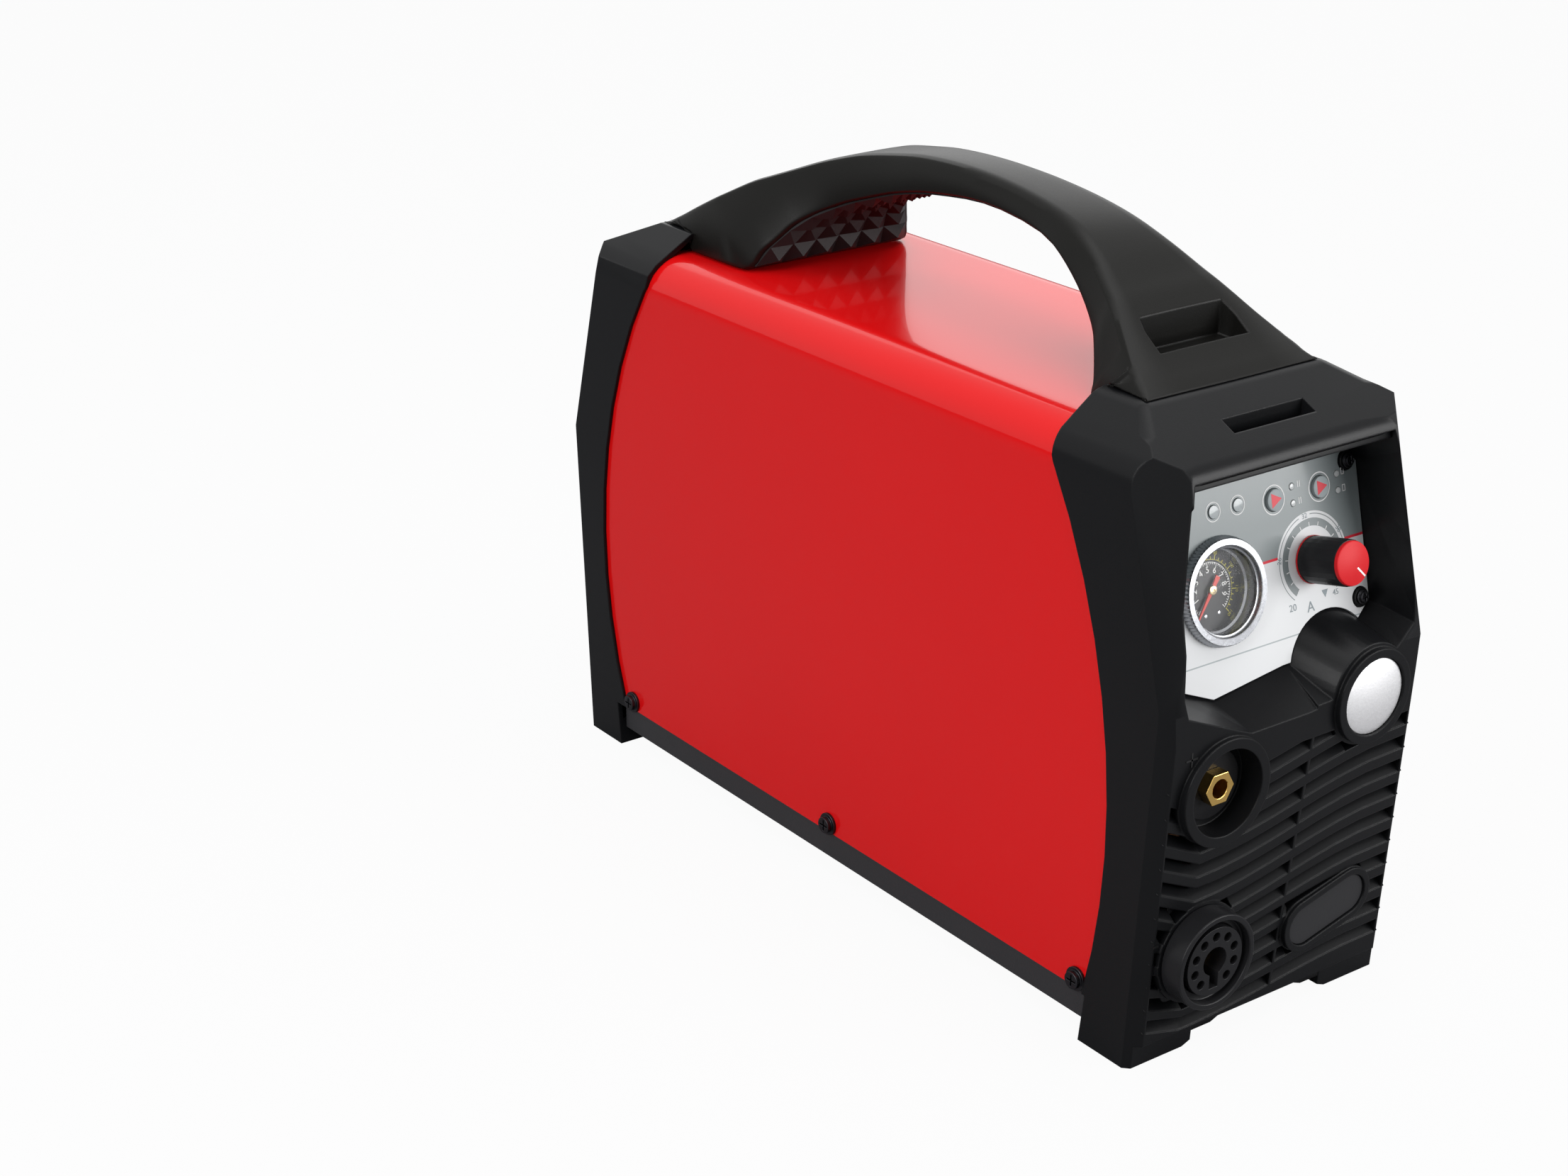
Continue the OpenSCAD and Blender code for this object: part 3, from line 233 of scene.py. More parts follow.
backdrop.inputs[0].default_value = (1.0, 1.0, 1.0, 1)

centre = (cad_low + cad_high) / 2
for name, place, size, power in (
    ("overhead", (0.0, -0.3, 2.4), (2.4, 2.0), 34),
    ("left_window", (-2.4, -0.5, 1.5), (1.6, 1.6), 50),
    ("front_window", (1.3, -2.2, 0.75), (1.9, 1.1), 52),
    ("back_window", (1.7, 2.4, 1.5), (3.4, 2.0), 17),
):
    lamp = bpy.data.lights.new(name, "AREA")
    lamp.shape = "RECTANGLE"
    lamp.size, lamp.size_y = size
    lamp.energy = power
    stand = bpy.data.objects.new(name, lamp)
    stand.location = place
    stand.rotation_euler = (centre - Vector(place)).to_track_quat("-Z", "Y").to_euler()
    bpy.context.scene.collection.objects.link(stand)

camera = bpy.data.cameras.new("camera")
camera.lens = 61.37
camera.shift_x = 0.0116
camera.shift_y = 0.0009
stand = bpy.data.objects.new("camera", camera)
stand.location = (-0.8232, -0.9729, 0.6691)
look = Matrix.Rotation(math.radians(-35.85), 3, "Z") @ Matrix.Rotation(math.radians(90 - 22.57), 3, "X")
stand.rotation_euler = look.to_euler()
bpy.context.scene.collection.objects.link(stand)
bpy.context.scene.camera = stand
bpy.context.scene.view_settings.view_transform = "Standard"

# ---------- base tray ----------
# A folded sheet-steel tray in satin black powder coat. It carries the works, and its turned-up
# sides take the cover's flange screws.


def powder_coat(name, colour, roughness=0.42, peel=0.00004):
    coat = Finish(name)
    place = coat.place()
    orange_peel = coat.noise(place, 900, 2)
    cloud = coat.noise(place, 14, 2)
    tint = coat.mix(cloud * 0.5 + 0.1, (*colour, 1), tuple(c * 1.25 + 0.002 for c in colour) + (1,))
    return coat.principled(Base_Color=tint, Roughness=cloud * 0.14 + (roughness - 0.07),
                           Normal=coat.bump(orange_peel, peel))


def copied(node):
    """A merged copy of a CAD node's mesh, ready for its edges to be rounded."""
    bm = bmesh.new()
    bm.from_mesh(frame["nodes"][node].data)
    bmesh.ops.remove_doubles(bm, verts=bm.verts, dist=0.000002)
    bmesh.ops.dissolve_limit(bm, angle_limit=math.radians(0.7), verts=bm.verts, edges=bm.edges)
    return bm


def finished(bm, name, material, body="chassis", stands_for=(), smooth=32):
    """Turns a bmesh into a piece that rides on a body."""
    mesh = bpy.data.meshes.new(name)
    bm.to_mesh(mesh)
    bm.free()
    mesh.materials.clear()
    mesh.materials.append(material)
    mesh.shade_smooth()
    if smooth:
        mesh.set_sharp_from_angle(angle=math.radians(smooth))
    piece = bpy.data.objects.new(name, mesh)
    bpy.context.scene.collection.objects.link(piece)
    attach(piece, body)
    if stands_for:
        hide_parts(*stands_for)
    return piece


def rounded(piece, width, segments=2, angle=30):
    """Rounds a piece's sharp edges."""
    bevel = piece.modifiers.new("rounding", "BEVEL")
    bevel.width = width
    bevel.segments = segments
    bevel.limit_method = "ANGLE"
    bevel.angle_limit = math.radians(angle)
    bevel.use_clamp_overlap = False
    bevel.harden_normals = True
    return piece


black_coat = powder_coat("black_powder_coat", (0.017, 0.017, 0.019))
tray = finished(copied("base_tray"), "tray", black_coat, stands_for=["base_tray"])
rounded(tray, 0.0004)

# ---------- cover ----------
# One sheet of steel bent over the case in a U, stove-enamelled in gloss red. Its two ends
# follow the curve of the bezels' rims and disappear under them.


def enamel(name, colour):
    paint = Finish(name)
    place = paint.place()
    peel = paint.noise(place, 260, 2)
    cloud = paint.noise(place, 6, 2)
    tint = paint.mix(cloud, tuple(c * 0.96 for c in colour) + (1,), tuple(c * 1.04 for c in colour) + (1,))
    return paint.principled(Base_Color=tint, Roughness=cloud * 0.05 + 0.22,
                            Normal=paint.bump(peel, 0.00003),
                            Coat_Weight=0.45, Coat_Roughness=0.05, Specular_IOR_Level=0.1)


cover_low, cover_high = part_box("cover")
sheet = 0.0012
bend = 0.020
tuck = 0.007
rim_top_z = 0.2775
saddle_z = 0.3032
saddle_back = 0.157


def rim(z, reach, height, radius):
    """How far from the middle a bezel's rim stands at height z."""
    at_top = reach - radius + math.sqrt(radius ** 2 - (rim_top_z - height) ** 2)
    if z > rim_top_z:
        return at_top + (saddle_back - at_top) * (z - rim_top_z) / (saddle_z - rim_top_z)
    return reach - radius + math.sqrt(radius ** 2 - (z - height) ** 2)


bm = bmesh.new()
corners = [(-cover_high.x, cover_low.z), (-cover_high.x, cover_high.z),
           (cover_high.x, cover_high.z), (cover_high.x, cover_low.z)]
front = [bm.verts.new((x, -0.2, z)) for x, z in corners]
edges = [bm.edges.new(pair) for pair in zip(front, front[1:])]
swept = bmesh.ops.extrude_edge_only(bm, edges=edges)["geom"]
bmesh.ops.translate(bm, verts=[v for v in swept if isinstance(v, bmesh.types.BMVert)], vec=(0, 0.4, 0))
folds = [e for e in bm.edges if abs(e.verts[0].co.y - e.verts[1].co.y) > 0.1 and e.verts[0].co.z > 0.2]
bmesh.ops.bevel(bm, geom=folds, offset=bend, affect="EDGES", segments=16, profile=0.5, material=-1)
for step in range(1, 14):
    z = cover_low.z + (cover_high.z - bend - cover_low.z) * step / 14
    bmesh.ops.bisect_plane(bm, geom=bm.verts[:] + bm.edges[:] + bm.faces[:], plane_co=(0, 0, z),
                           plane_no=(0, 0, 1))
for at, axis in (((-0.0575, 0, 0), (1, 0, 0)), ((0.0575, 0, 0), (1, 0, 0)), ((0, 0, 0.2700), (0, 0, 1))):
    bmesh.ops.bisect_plane(bm, geom=bm.verts[:] + bm.edges[:] + bm.faces[:], plane_co=at, plane_no=axis)
for v in bm.verts:
    if v.co.y < 0:
        v.co.y = -rim(v.co.z, 0.2053, 0.108, 0.330) - tuck
    else:
        v.co.y = rim(v.co.z, 0.2077, 0.125, 0.275) + tuck
bmesh.ops.recalc_face_normals(bm, faces=bm.faces)
if sum(f.normal.z for f in bm.faces if f.calc_center_median().z > cover_high.z - 0.001) < 0:
    bmesh.ops.reverse_faces(bm, faces=bm.faces)
bmesh.ops.solidify(bm, geom=bm.faces[:], thickness=sheet)
red_enamel = enamel("red_enamel", (0.640, 0.0040, 0.0050))
finished(bm, "wrap", red_enamel, stands_for=["cover"], smooth=40)

# ---------- end bezels ----------
# Two moulded hoods in black plastic with a fine spark-eroded grain. The front one holds the
# control recess and the louvres. Their outer edges are rounded, the small ribs only broken.


def moulded(name, colour, grain=1500, depth=0.00003, roughness=0.42, sheen=0.10, edge=0.0, gloss=0.15):
    plastic = Finish(name)
    place = plastic.place()
    fine = plastic.noise(place, grain, 2)
    flow = plastic.noise(place, 9, 2)
    tint = plastic.mix(flow, (*colour, 1), tuple(c * 1.35 for c in colour) + (1,))
    grainy = plastic.node("ShaderNodeBump", {}, Distance=depth, Height=fine)
    if edge:
        soft = plastic.node("ShaderNodeBevel", {"samples": 6}, Radius=edge)
        plastic.tree.links.new(soft.outputs[0], grainy.inputs["Normal"])
    return plastic.principled(Base_Color=tint, Roughness=fine * sheen + (roughness - sheen / 2),
                              Normal=plastic.out(grainy), Specular_IOR_Level=gloss)


bezel_plastic = moulded("bezel_plastic", (0.0048, 0.0050, 0.0056), roughness=0.32, edge=0.0011)
brow_edge_z = 0.2725
brow_lift = Vector((0, 0.00145, 0.0065))
shoulder_bevel = 0.004
shoulder_z = 0.262
shoulder_l = 0.022


def hood(node, name, width, is_outer):
    """A bezel with its outer edges rounded; the ribs and the recess keep their own edges."""
    bm = bmesh.new()
    bm.from_mesh(frame["nodes"][node].data)
    bmesh.ops.remove_doubles(bm, verts=bm.verts, dist=0.000002)
    for v in bm.verts:
        if abs(v.co.z - brow_edge_z) < 0.0006 and v.co.y < -0.2265 and abs(v.co.x) < 0.0625:
            v.co += brow_lift
    flat = [v for v in bm.verts if is_outer(v.co)]
    outside = [e for e in bm.edges if is_outer(e.verts[0].co) and is_outer(e.verts[1].co)]
    bmesh.ops.dissolve_limit(bm, angle_limit=math.radians(0.7), verts=flat, edges=outside)
    shoulders = [e for e in bm.edges if is_outer(e.verts[0].co) and is_outer(e.verts[1].co) and e.is_convex
                 and math.radians(18) < e.calc_face_angle(0) < math.radians(62)
                 and e.calc_length() > shoulder_l
                 and min(e.verts[0].co.z, e.verts[1].co.z) > shoulder_z]
    bmesh.ops.bevel(bm, geom=shoulders, offset=shoulder_bevel, affect="EDGES", segments=4, profile=0.5,
                    material=-1,
                    clamp_overlap=True)
    keen = [e for e in bm.edges if is_outer(e.verts[0].co) and is_outer(e.verts[1].co) and e.is_convex
            and len(e.link_faces) == 2 and math.radians(24) < e.calc_face_angle(0) < math.radians(130)
            and e.calc_length() > width * 1.2]
    bmesh.ops.bevel(bm, geom=keen, offset=width, affect="EDGES", segments=3, profile=0.5, material=-1,
                    clamp_overlap=True)
    for edge in bm.edges:
        outer = is_outer(edge.verts[0].co) and is_outer(edge.verts[1].co)
        edge.smooth = edge.is_manifold and edge.calc_face_angle(0) < math.radians(50 if outer else 22)
    piece = finished(bm, name, bezel_plastic, stands_for=[node], smooth=0)
    flats = piece.modifiers.new("flats", "WEIGHTED_NORMAL")
    flats.keep_sharp = True
    flats.weight = 60
    return piece


def front_outside(at):
    return at.y < -0.150 and (abs(at.x) > 0.0755 or at.z > 0.2715) and (abs(at.x) > 0.027 or at.z > 0.297)


hood("front_bezel", "front_hood", 0.0012, front_outside)


def rear_outside(at):
    return at.y > 0.150 and (abs(at.x) > 0.0675 or at.z > 0.268)


hood("rear_bezel", "rear_hood", 0.0012, rear_outside)

# The louvres are sloping blades between the ribs: each rises to the back from the edge of the
# rib below it, so that rain and sparks run out again.

nose = 239.0
nose_z = 165.0
lean = 0.0569
pitch = 12.55
blade_rise = 4.7
blade_depth = 5.6
lowest_louvre = 25.5
half_louvre = 3.5
louvre_low = 10.5
louvre_top = 152
louvre_stops = ((-44, 136, 23.8), (-48, 54, 25.4), (47, 158, 23))
plate_at = (35.5, 48.5)
plate_turn = math.radians(13.6)


def dip(x, row):
    """How far louvre number row lies below its level at x, in mm."""
    depth = 9 + 1.4 * row if row < 5 else 16
    if x < -53:
        return -depth + (-53 - x) * 0.03 * depth
    return -depth * (1 + math.cos(math.pi * min(1, (x + 53) / 120))) / 2


def is_covered(x, z):
    """True where a socket, the badge or the closing plate interrupts the louvres."""
    if any(math.hypot(x - cx, z - cz) < reach for cx, cz, reach in louvre_stops):
        return True
    dx, dz = x - plate_at[0], z - plate_at[1]
    along = dx * math.cos(plate_turn) + dz * math.sin(plate_turn)
    across = dz * math.cos(plate_turn) - dx * math.sin(plate_turn)
    return math.hypot(max(0, abs(along) - 15), across) < 12.2


def lofted(rings, close_ends=True):
    """A skin drawn through rings of points, by extruding the first ring along the rest."""
    bm = bmesh.new()
    ring = [bm.verts.new(point) for point in rings[0]]
    edges = [bm.edges.new((ring[i], ring[(i + 1) % len(ring)])) for i in range(len(ring))]
    if close_ends:
        bm.faces.new(ring)
    for points in rings[1:]:
        for v in ring:
            v.tag = False
        out = bmesh.ops.extrude_edge_only(bm, edges=edges)["geom"]
        edges = [e for e in out if isinstance(e, bmesh.types.BMEdge)]
        fresh = {v for v in out if isinstance(v, bmesh.types.BMVert)}
        ring = [next(e.other_vert(v) for e in v.link_edges if e.other_vert(v) in fresh) for v in ring]
        edges = [next(e for e in ring[i].link_edges if e.other_vert(ring[i]) is ring[(i + 1) % len(ring)])
                 for i in range(len(ring))]
        for v, point in zip(ring, points):
            v.co = point
    if close_ends:
        bm.faces.new(ring[::-1])
    bmesh.ops.recalc_face_normals(bm, faces=bm.faces)
    return bm


knees = (-77, -53, -38, -23, -8, 7, 22, 37, 52, 77)
bm = bmesh.new()
for row in range(11):
    section = []
    for a, b in zip(knees, knees[1:]):
        count = max(1, round((b - a) / 1.6))
        for step in range(count + (b == knees[-1])):
            x = a + (b - a) * step / count
            level = lowest_louvre + pitch * row - half_louvre
            z = level + dip(a, row) + (dip(b, row) - dip(a, row)) * step / count
            inside = z > louvre_low and z + blade_rise < louvre_top
            seen = inside and not is_covered(x, z) and not is_covered(x, z + blade_rise)
            if seen:
                y = -nose + (nose_z - z) * lean + 0.25
                section.append([(x, y, z - 0.3), (x, y, z), (x, y + 0.5, z + 0.55),
                                (x, y + blade_depth, z + blade_rise), (x, y + blade_depth, z - 0.3)])
            if not seen or x == knees[-1]:
                if len(section) > 1:
                    part = lofted([[(px / 1000, py / 1000, pz / 1000) for px, py, pz in ring]
                                   for ring in section])
                    mesh = bpy.data.meshes.new("blade")
                    part.to_mesh(mesh)
                    bm.from_mesh(mesh)
                    part.free()
                section = []
finished(bm, "louvre_blades", bezel_plastic, smooth=20)

# ---------- carrying handle ----------
# A hollow arch in satin black plastic, screwed down through both saddles. It is lofted through
# stations that give its top line, its under line and the half-width at each. The front foot
# has a shallow pocket.

handle_plastic = moulded("handle_plastic", (0.0042, 0.0041, 0.0036), roughness=0.34, edge=0.0012)
# each station: top y, top z, top half-width | under y, under z, under half-width, in mm
stations = [
    (-185.7, 303.3, 51.7, -185.2, 303.2, 52.3), (-180, 307, 50, -170, 303.2, 52.4),
    (-175, 310, 48.5, -157.4, 303.2, 52.5), (-167, 315.2, 45.5, -156.8, 292.8, 50.5),
    (-158, 321.6, 41, -144.8, 292.8, 48.5), (-149, 328.2, 36.8, -143.5, 299, 46.5),
    (-141, 334, 33, -138, 311, 42), (-133, 338.8, 30, -129, 320, 36),
    (-118, 348, 24.5, -112, 333, 30), (-101, 355.8, 20, -90, 346, 25.5),
    (-80, 361.3, 17.5, -70, 350.5, 22), (-55, 365, 15.8, -45, 353, 20), (-30, 367, 15, -25, 353, 19),
    (-5, 367.3, 14.8, -5, 351.2, 19), (20, 366, 15, 15, 348.5, 19.5), (40, 363.2, 16, 35, 344, 21),
    (61, 359.4, 18.6, 52, 338.5, 23), (75, 355.5, 21.8, 65, 334, 25.5), (88, 351.2, 25.4, 76, 329, 29),
    (105, 344.3, 31.6, 85, 324, 34), (115, 340.2, 36, 92, 318.5, 39), (125, 336, 40.5, 98, 311, 44),
    (140, 327.8, 46.5, 104, 304, 49), (147, 324, 49, 113.5, 293, 53.5), (160, 317, 51, 150, 292.8, 55),
    (172, 310.5, 51.6, 156.6, 292.9, 55), (180, 306.3, 51.8, 157.6, 303.2, 54),
    (185.7, 303.3, 52, 185.2, 303.2, 52.5),
]


def between(rows, steps):
    """Adds rows between the given ones on a smooth curve through them."""
    line = []
    for i in range(len(rows) - 1):
        before, here, after, beyond = (rows[max(0, min(len(rows) - 1, i + k))] for k in (-1, 0, 1, 2))
        for step in range(steps):
            t = step / steps
            row = []
            for a, b, c, d in zip(before, here, after, beyond):
                square = 2 * a - 5 * b + 4 * c - d
                cube = 3 * b - a - 3 * c + d
                row.append(0.5 * (2 * b + (c - a) * t + square * t * t + cube * t ** 3))
            line.append(row)
    return line + [list(rows[-1])]


saddle_top = 303.2
cover_top = 292.8
saddle_y = 157.2


def arch_section(station):
    """The handle's outline across one station: crowned top and rounded corners."""
    top_y, top_z, top_w, low_y, low_z, low_w = station
    low_z = max(low_z, saddle_top if abs(low_y) > saddle_y else cover_top)
    depth = math.hypot(top_y - low_y, top_z - low_z)
    corner = min(3.0, depth * 0.3)
    foot = min(3.5, depth * 0.3)
    pocket_w = min(0.7 * top_w, 28)

    def width(d):
        return top_w + (low_w - top_w) * d / depth

    half = [(0, 0), (pocket_w * 0.5, 0.05), (pocket_w, 0.2), (top_w - corner, 0.4),
            (top_w - 0.3 * corner, 0.4 + 0.3 * corner),
            (width(corner + 0.4), corner + 0.4), (width(depth * 0.5), depth * 0.5),
            (width(depth - foot), depth - foot),
            (low_w - 0.3 * foot, depth - 0.3 * foot), (low_w - foot, depth), (0, depth)]
    ring = half + [(-x, d) for x, d in half[-2:0:-1]]
    return [(x / 1000, (top_y + (low_y - top_y) * d / depth) / 1000,
             (top_z + (low_z - top_z) * d / depth) / 1000)
            for x, d in ring]


arch = between(stations, 4)
bm = lofted([arch_section(station) for station in arch])
pocket_hw = 0.0283
pocket_front, pocket_rear = -0.1672, -0.1488
pocket_floor_z = 0.3085
pocket = [f for f in bm.faces if f.normal.z > 0.5 and all(abs(v.co.x) < pocket_hw for v in f.verts)
          and pocket_front < f.calc_center_median().y < pocket_rear and f.calc_center_median().z > 0.312]
bmesh.ops.inset_region(bm, faces=pocket, thickness=0.0010, depth=0.0, use_even_offset=True)
sunk = bmesh.ops.extrude_face_region(bm, geom=pocket)["geom"]
for v in sunk:
    if isinstance(v, bmesh.types.BMVert):
        v.co.z = pocket_floor_z + (v.co.y + 0.166) * 0.16
        v.co.x *= 0.97
bmesh.ops.delete(bm, geom=pocket, context="FACES")
arch_piece = finished(bm, "arch", handle_plastic, stands_for=["handle"], smooth=26)
rounded(arch_piece, 0.0006, 2, 40)

# The soft grip is a separate moulding along the under side, with a field of pyramids on the
# rear half where the fingers close.
stud_field_y = 0.030
stud_spacing = 11
stud_height = 0.0042
grip_rubber = moulded("grip_rubber", (0.0090, 0.0085, 0.0090), grain=700, roughness=0.34)
under = [station for station in between(stations[5:25], 3) if station[4] > 296]
gone = 0.0
rows = [under[0]]
for before, here in zip(under, under[1:]):
    gone += math.hypot(here[3] - before[3], here[4] - before[4])
    if gone > stud_spacing:
        rows.append(here)
        gone = 0.0
rings = []
for top_y, top_z, top_w, low_y, low_z, low_w in rows:
    depth = math.hypot(top_y - low_y, top_z - low_z)
    out = Vector((0, (low_y - top_y) / depth, (low_z - top_z) / depth))
    half = low_w - 3.4
    bottom = Vector((0, low_y, low_z)) + out * 0.6
    inside = Vector((0, low_y, low_z)) - out * 3
    ring = [inside + Vector((x, 0, 0)) for x in (-half, half)]
    ring += [bottom + Vector((half * k / 3, 0, 0)) for k in (3, 2, 1, 0, -1, -2, -3)]
    rings.append([point / 1000 for point in ring])
bm = lofted(rings)
studs = [f for f in bm.faces if f.calc_center_median().y > stud_field_y
         and (f.normal.z < -0.2 or f.normal.y < -0.6)
         and len(f.verts) == 4 and all(abs(v.co.x) < 0.06 for v in f.verts) and f.calc_area() < 0.0006
         and abs(f.normal.x) < 0.6]
bmesh.ops.poke(bm, faces=studs, offset=stud_height)
finished(bm, "grip_pad", grip_rubber, stands_for=["handle_grip"], smooth=12)

# ---------- control panel ----------
# A sheet of polycarbonate printed from behind: grey above a red line, white below, with
# scales and small icons. It lies on the sloping floor of the recess, held by two screws.

panel_at = (0.0, -0.20609, 0.224)
panel_slope = math.radians(76.4)
on_panel = Matrix.Translation(panel_at) @ Matrix.Rotation(panel_slope, 4, "X")
knob_at = (35.0, -7.0)
gauge_at = (-23.0, -8.5)
lamps_at = ((-22.6, 27.2), (-7.6, 27.2))
buttons_at = ((14.6, 24.8), (43.7, 24.8))
leds_at = ((26.5, 28.4), (26.5, 20.7), (55.5, 28.4), (55.5, 20.7))
print_grey = (0.180, 0.207, 0.212, 1)
print_white = (0.66, 0.67, 0.68, 1)
print_red = (0.62, 0.012, 0.030, 1)


def panel_print():
    sheet = Finish("panel_print")
    place = sheet.place(panel_at, (panel_slope, 0, 0), (0.001, 0.001, 0.001))
    x, y, z = sheet.axes(place)
    upper = y > -1.4
    stripe = abs(y + 2.0) < 0.62
    foot_line = abs(y + 38.8) < 0.33
    dx, dy = x - knob_at[0], y - knob_at[1]
    reach = (dx * dx + dy * dy).maths("SQRT")
    angle = dy.maths("ARCTAN2", dx * -1.0)  # 0 at the left, growing clockwise over the top
    swept = (angle > -0.87) * 1.0
    swept = swept.maths("MAXIMUM", (angle < -2.27) * 1.0)
    band = (reach < 22.2) * (reach > 19.0) * swept
    thin = (abs(reach - 20.9) < 0.22) * swept * (abs(angle - 1.45) > 0.17)
    annulus = (reach < 19.0) * (reach > 15.4) * swept
    disc = reach < 15.4
    # Painted shade: the grey print is made darker towards the top of the panel, under the brow.
    painted_brow_shade = (y * 0.008 + 0.5).maths("MINIMUM", 1.0)
    grey = sheet.mix(painted_brow_shade, (0.215, 0.245, 0.248, 1), print_grey)
    colour = sheet.mix(upper, print_white, grey)
    colour = sheet.mix(stripe, colour, print_red)
    colour = sheet.mix(foot_line, colour, (0.33, 0.37, 0.38, 1))
    colour = sheet.mix(band, colour, print_white)
    colour = sheet.mix(thin, colour, print_grey)
    colour = sheet.mix(annulus, colour, print_grey)
    colour = sheet.mix(disc, colour, print_white)
    cloud = sheet.noise(place, 0.8, 2)
    return sheet.principled(Base_Color=colour, Roughness=cloud * 0.1 + 0.32, Coat_Weight=0.35,
                            Coat_Roughness=0.12, Normal=sheet.bump(cloud, 0.00001))


def ink(name, colour):
    """A coat of printing ink, very slightly mottled."""
    coat = Finish(name)
    mottle = coat.noise(coat.place(), 1800, 2)
    tint = coat.mix(mottle, tuple(c * 0.92 for c in colour) + (1,), tuple(c * 1.06 for c in colour) + (1,))
    return coat.principled(Base_Color=tint, Roughness=mottle * 0.1 + 0.38)


board = finished(copied("control_panel"), "printed_panel", panel_print(), stands_for=["control_panel"])
rounded(board, 0.00025)
white_ink = ink("white_ink", (0.72, 0.72, 0.72))
grey_ink = ink("grey_ink", (0.20, 0.24, 0.26))
red_ink = ink("red_ink", (0.66, 0.020, 0.040))
print_up = 0.00004
scale_start = -140
scale_sweep = 280


def at_panel(x, y, up=0.0, turn=0.0):
    """The place on the panel at x, y in mm, raised and turned in degrees."""
    spin = Matrix.Rotation(math.radians(turn), 4, "Z")
    return on_panel @ Matrix.Translation((x / 1000, y / 1000, up)) @ spin


def printed(name, material, marks, body="chassis", thick=0.00004):
    """Thin raised marks made as one mesh. A mark is an outline in mm and its place."""
    bm = bmesh.new()
    for outline, place in marks:
        face = bm.faces.new([bm.verts.new(place @ Vector((x / 1000, y / 1000, 0))) for x, y in outline])
        out = bmesh.ops.extrude_face_region(bm, geom=[face])["geom"]
        up = (place.to_3x3() @ Vector((0, 0, 1))) * thick
        bmesh.ops.translate(bm, verts=[v for v in out if isinstance(v, bmesh.types.BMVert)], vec=up)
    bmesh.ops.recalc_face_normals(bm, faces=bm.faces)
    return finished(bm, name, material, body)


def bar(width, height):
    return [(-width / 2, -height / 2), (width / 2, -height / 2), (width / 2, height / 2),
            (-width / 2, height / 2)]


def ringed(radius, line, place, steps=40):
    """Marks that together draw a circle."""
    marks = []
    for k in range(steps):
        a, b = 2 * math.pi * k / steps, 2 * math.pi * (k + 1.0) / steps
        corners = ((radius, a), (radius + line, a), (radius + line, b), (radius, b))
        marks.append(([(r * math.cos(turn), r * math.sin(turn)) for r, turn in corners], place))
    return marks


def figures(name, material, words, body="chassis"):
    """Numbers, each as (text, height in mm, place), cut as thin letters and set down as one mesh."""
    bm = bmesh.new()
    for word, height, place in words:
        curve = bpy.data.curves.new(name, "FONT")
        curve.body = word
        curve.size = height / 1000
        curve.align_x = "CENTER"
        curve.align_y = "CENTER"
        curve.extrude = 0.00003
        curve.resolution_u = 3
        holder = bpy.data.objects.new(name, curve)
        letters = bpy.data.meshes.new_from_object(holder)
        letters.transform(place)
        bm.from_mesh(letters)
        bpy.data.objects.remove(holder)
        bpy.data.curves.remove(curve)
        bpy.data.meshes.remove(letters)
    bmesh.ops.remove_doubles(bm, verts=bm.verts, dist=0.0000005)
    return finished(bm, name, material, body)


white_marks = []
for x, y in lamps_at:
    white_marks += ringed(4.1, 0.42, at_panel(x, y, print_up))
for x, y in buttons_at:
    white_marks += ringed(6.4, 0.5, at_panel(x, y, print_up))
for k in range(15):
    turn = 90 - (scale_start + scale_sweep * k / 14)
    white_marks.append((bar(1.8, 0.42),
                        at_panel(*knob_at, print_up, turn) @ Matrix.Translation((0.0164, 0, 0))))
for x, y in ((30.3, 28.9), (31.5, 28.9), (30.3, 21.2), (31.5, 21.2)):
    white_marks.append((bar(0.45, 3.0), at_panel(x, y, print_up)))
for x, y in ((59.2, 29.0), (59.2, 21.2)):
    white_marks.append((bar(1.8, 0.4), at_panel(x, y + 1.4, print_up)))
    white_marks.append((bar(1.8, 0.4), at_panel(x, y - 1.4, print_up)))
    white_marks.append((bar(0.4, 3.0), at_panel(x - 0.8, y, print_up)))
    white_marks.append((bar(0.4, 3.0), at_panel(x + 0.8, y, print_up)))
printed("white_print", white_ink, white_marks)
printed("grey_print", grey_ink, [([(-2.0, 1.7), (0, -1.9), (2.0, 1.7)], at_panel(40.8, -24.1, print_up))])
figures("current_scale", grey_ink, [
    ("20", 4.7, at_panel(19.8, -26.4, print_up * 2)), ("A", 7.0, at_panel(31, -28.4, print_up * 2)),
    ("26", 3.5, at_panel(14.4, -3.4, print_up * 2, 80)), ("32", 3.5, at_panel(32.6, 13.5, print_up * 2, 6)),
    ("38", 3.5, at_panel(53.0, 3.4, print_up * 2, -60)), ("45", 3.8, at_panel(47.6, -25.2, print_up * 2))])

# ---------- push-buttons, lamps and lights ----------
# Two membrane keys with a red arrow, two round lamps and four small lights, all showing
# through holes in the panel.

facing_front = Matrix.Rotation(math.radians(90), 4, "X")


def lathe(bm, profile, steps, place, closed=False):
    """Turns a profile of (radius, height) in mm once round and sets it down."""
    verts = [bm.verts.new((r / 1000, 0, h / 1000)) for r, h in profile]
    pairs = list(zip(verts, verts[1:])) + ([(verts[-1], verts[0])] if closed else [])
    edges = [bm.edges.new(pair) for pair in pairs]
    made = bmesh.ops.spin(bm, geom=verts + edges, cent=(0, 0, 0), axis=(0, 0, 1), dvec=(0, 0, 0),
                          angle=2 * math.pi, steps=steps, use_merge=True, use_duplicate=False)
    bmesh.ops.remove_doubles(bm, verts=bm.verts, dist=0.000001)
    bmesh.ops.recalc_face_normals(bm, faces=bm.faces)
    bmesh.ops.transform(bm, matrix=place, verts=bm.verts)
    return made


def turned(name, profile, place, material, body="chassis", stands_for=(), steps=64, smooth=30,
           closed=False):
    bm = bmesh.new()
    lathe(bm, profile, steps, place, closed)
    return finished(bm, name, material, body, stands_for, smooth)


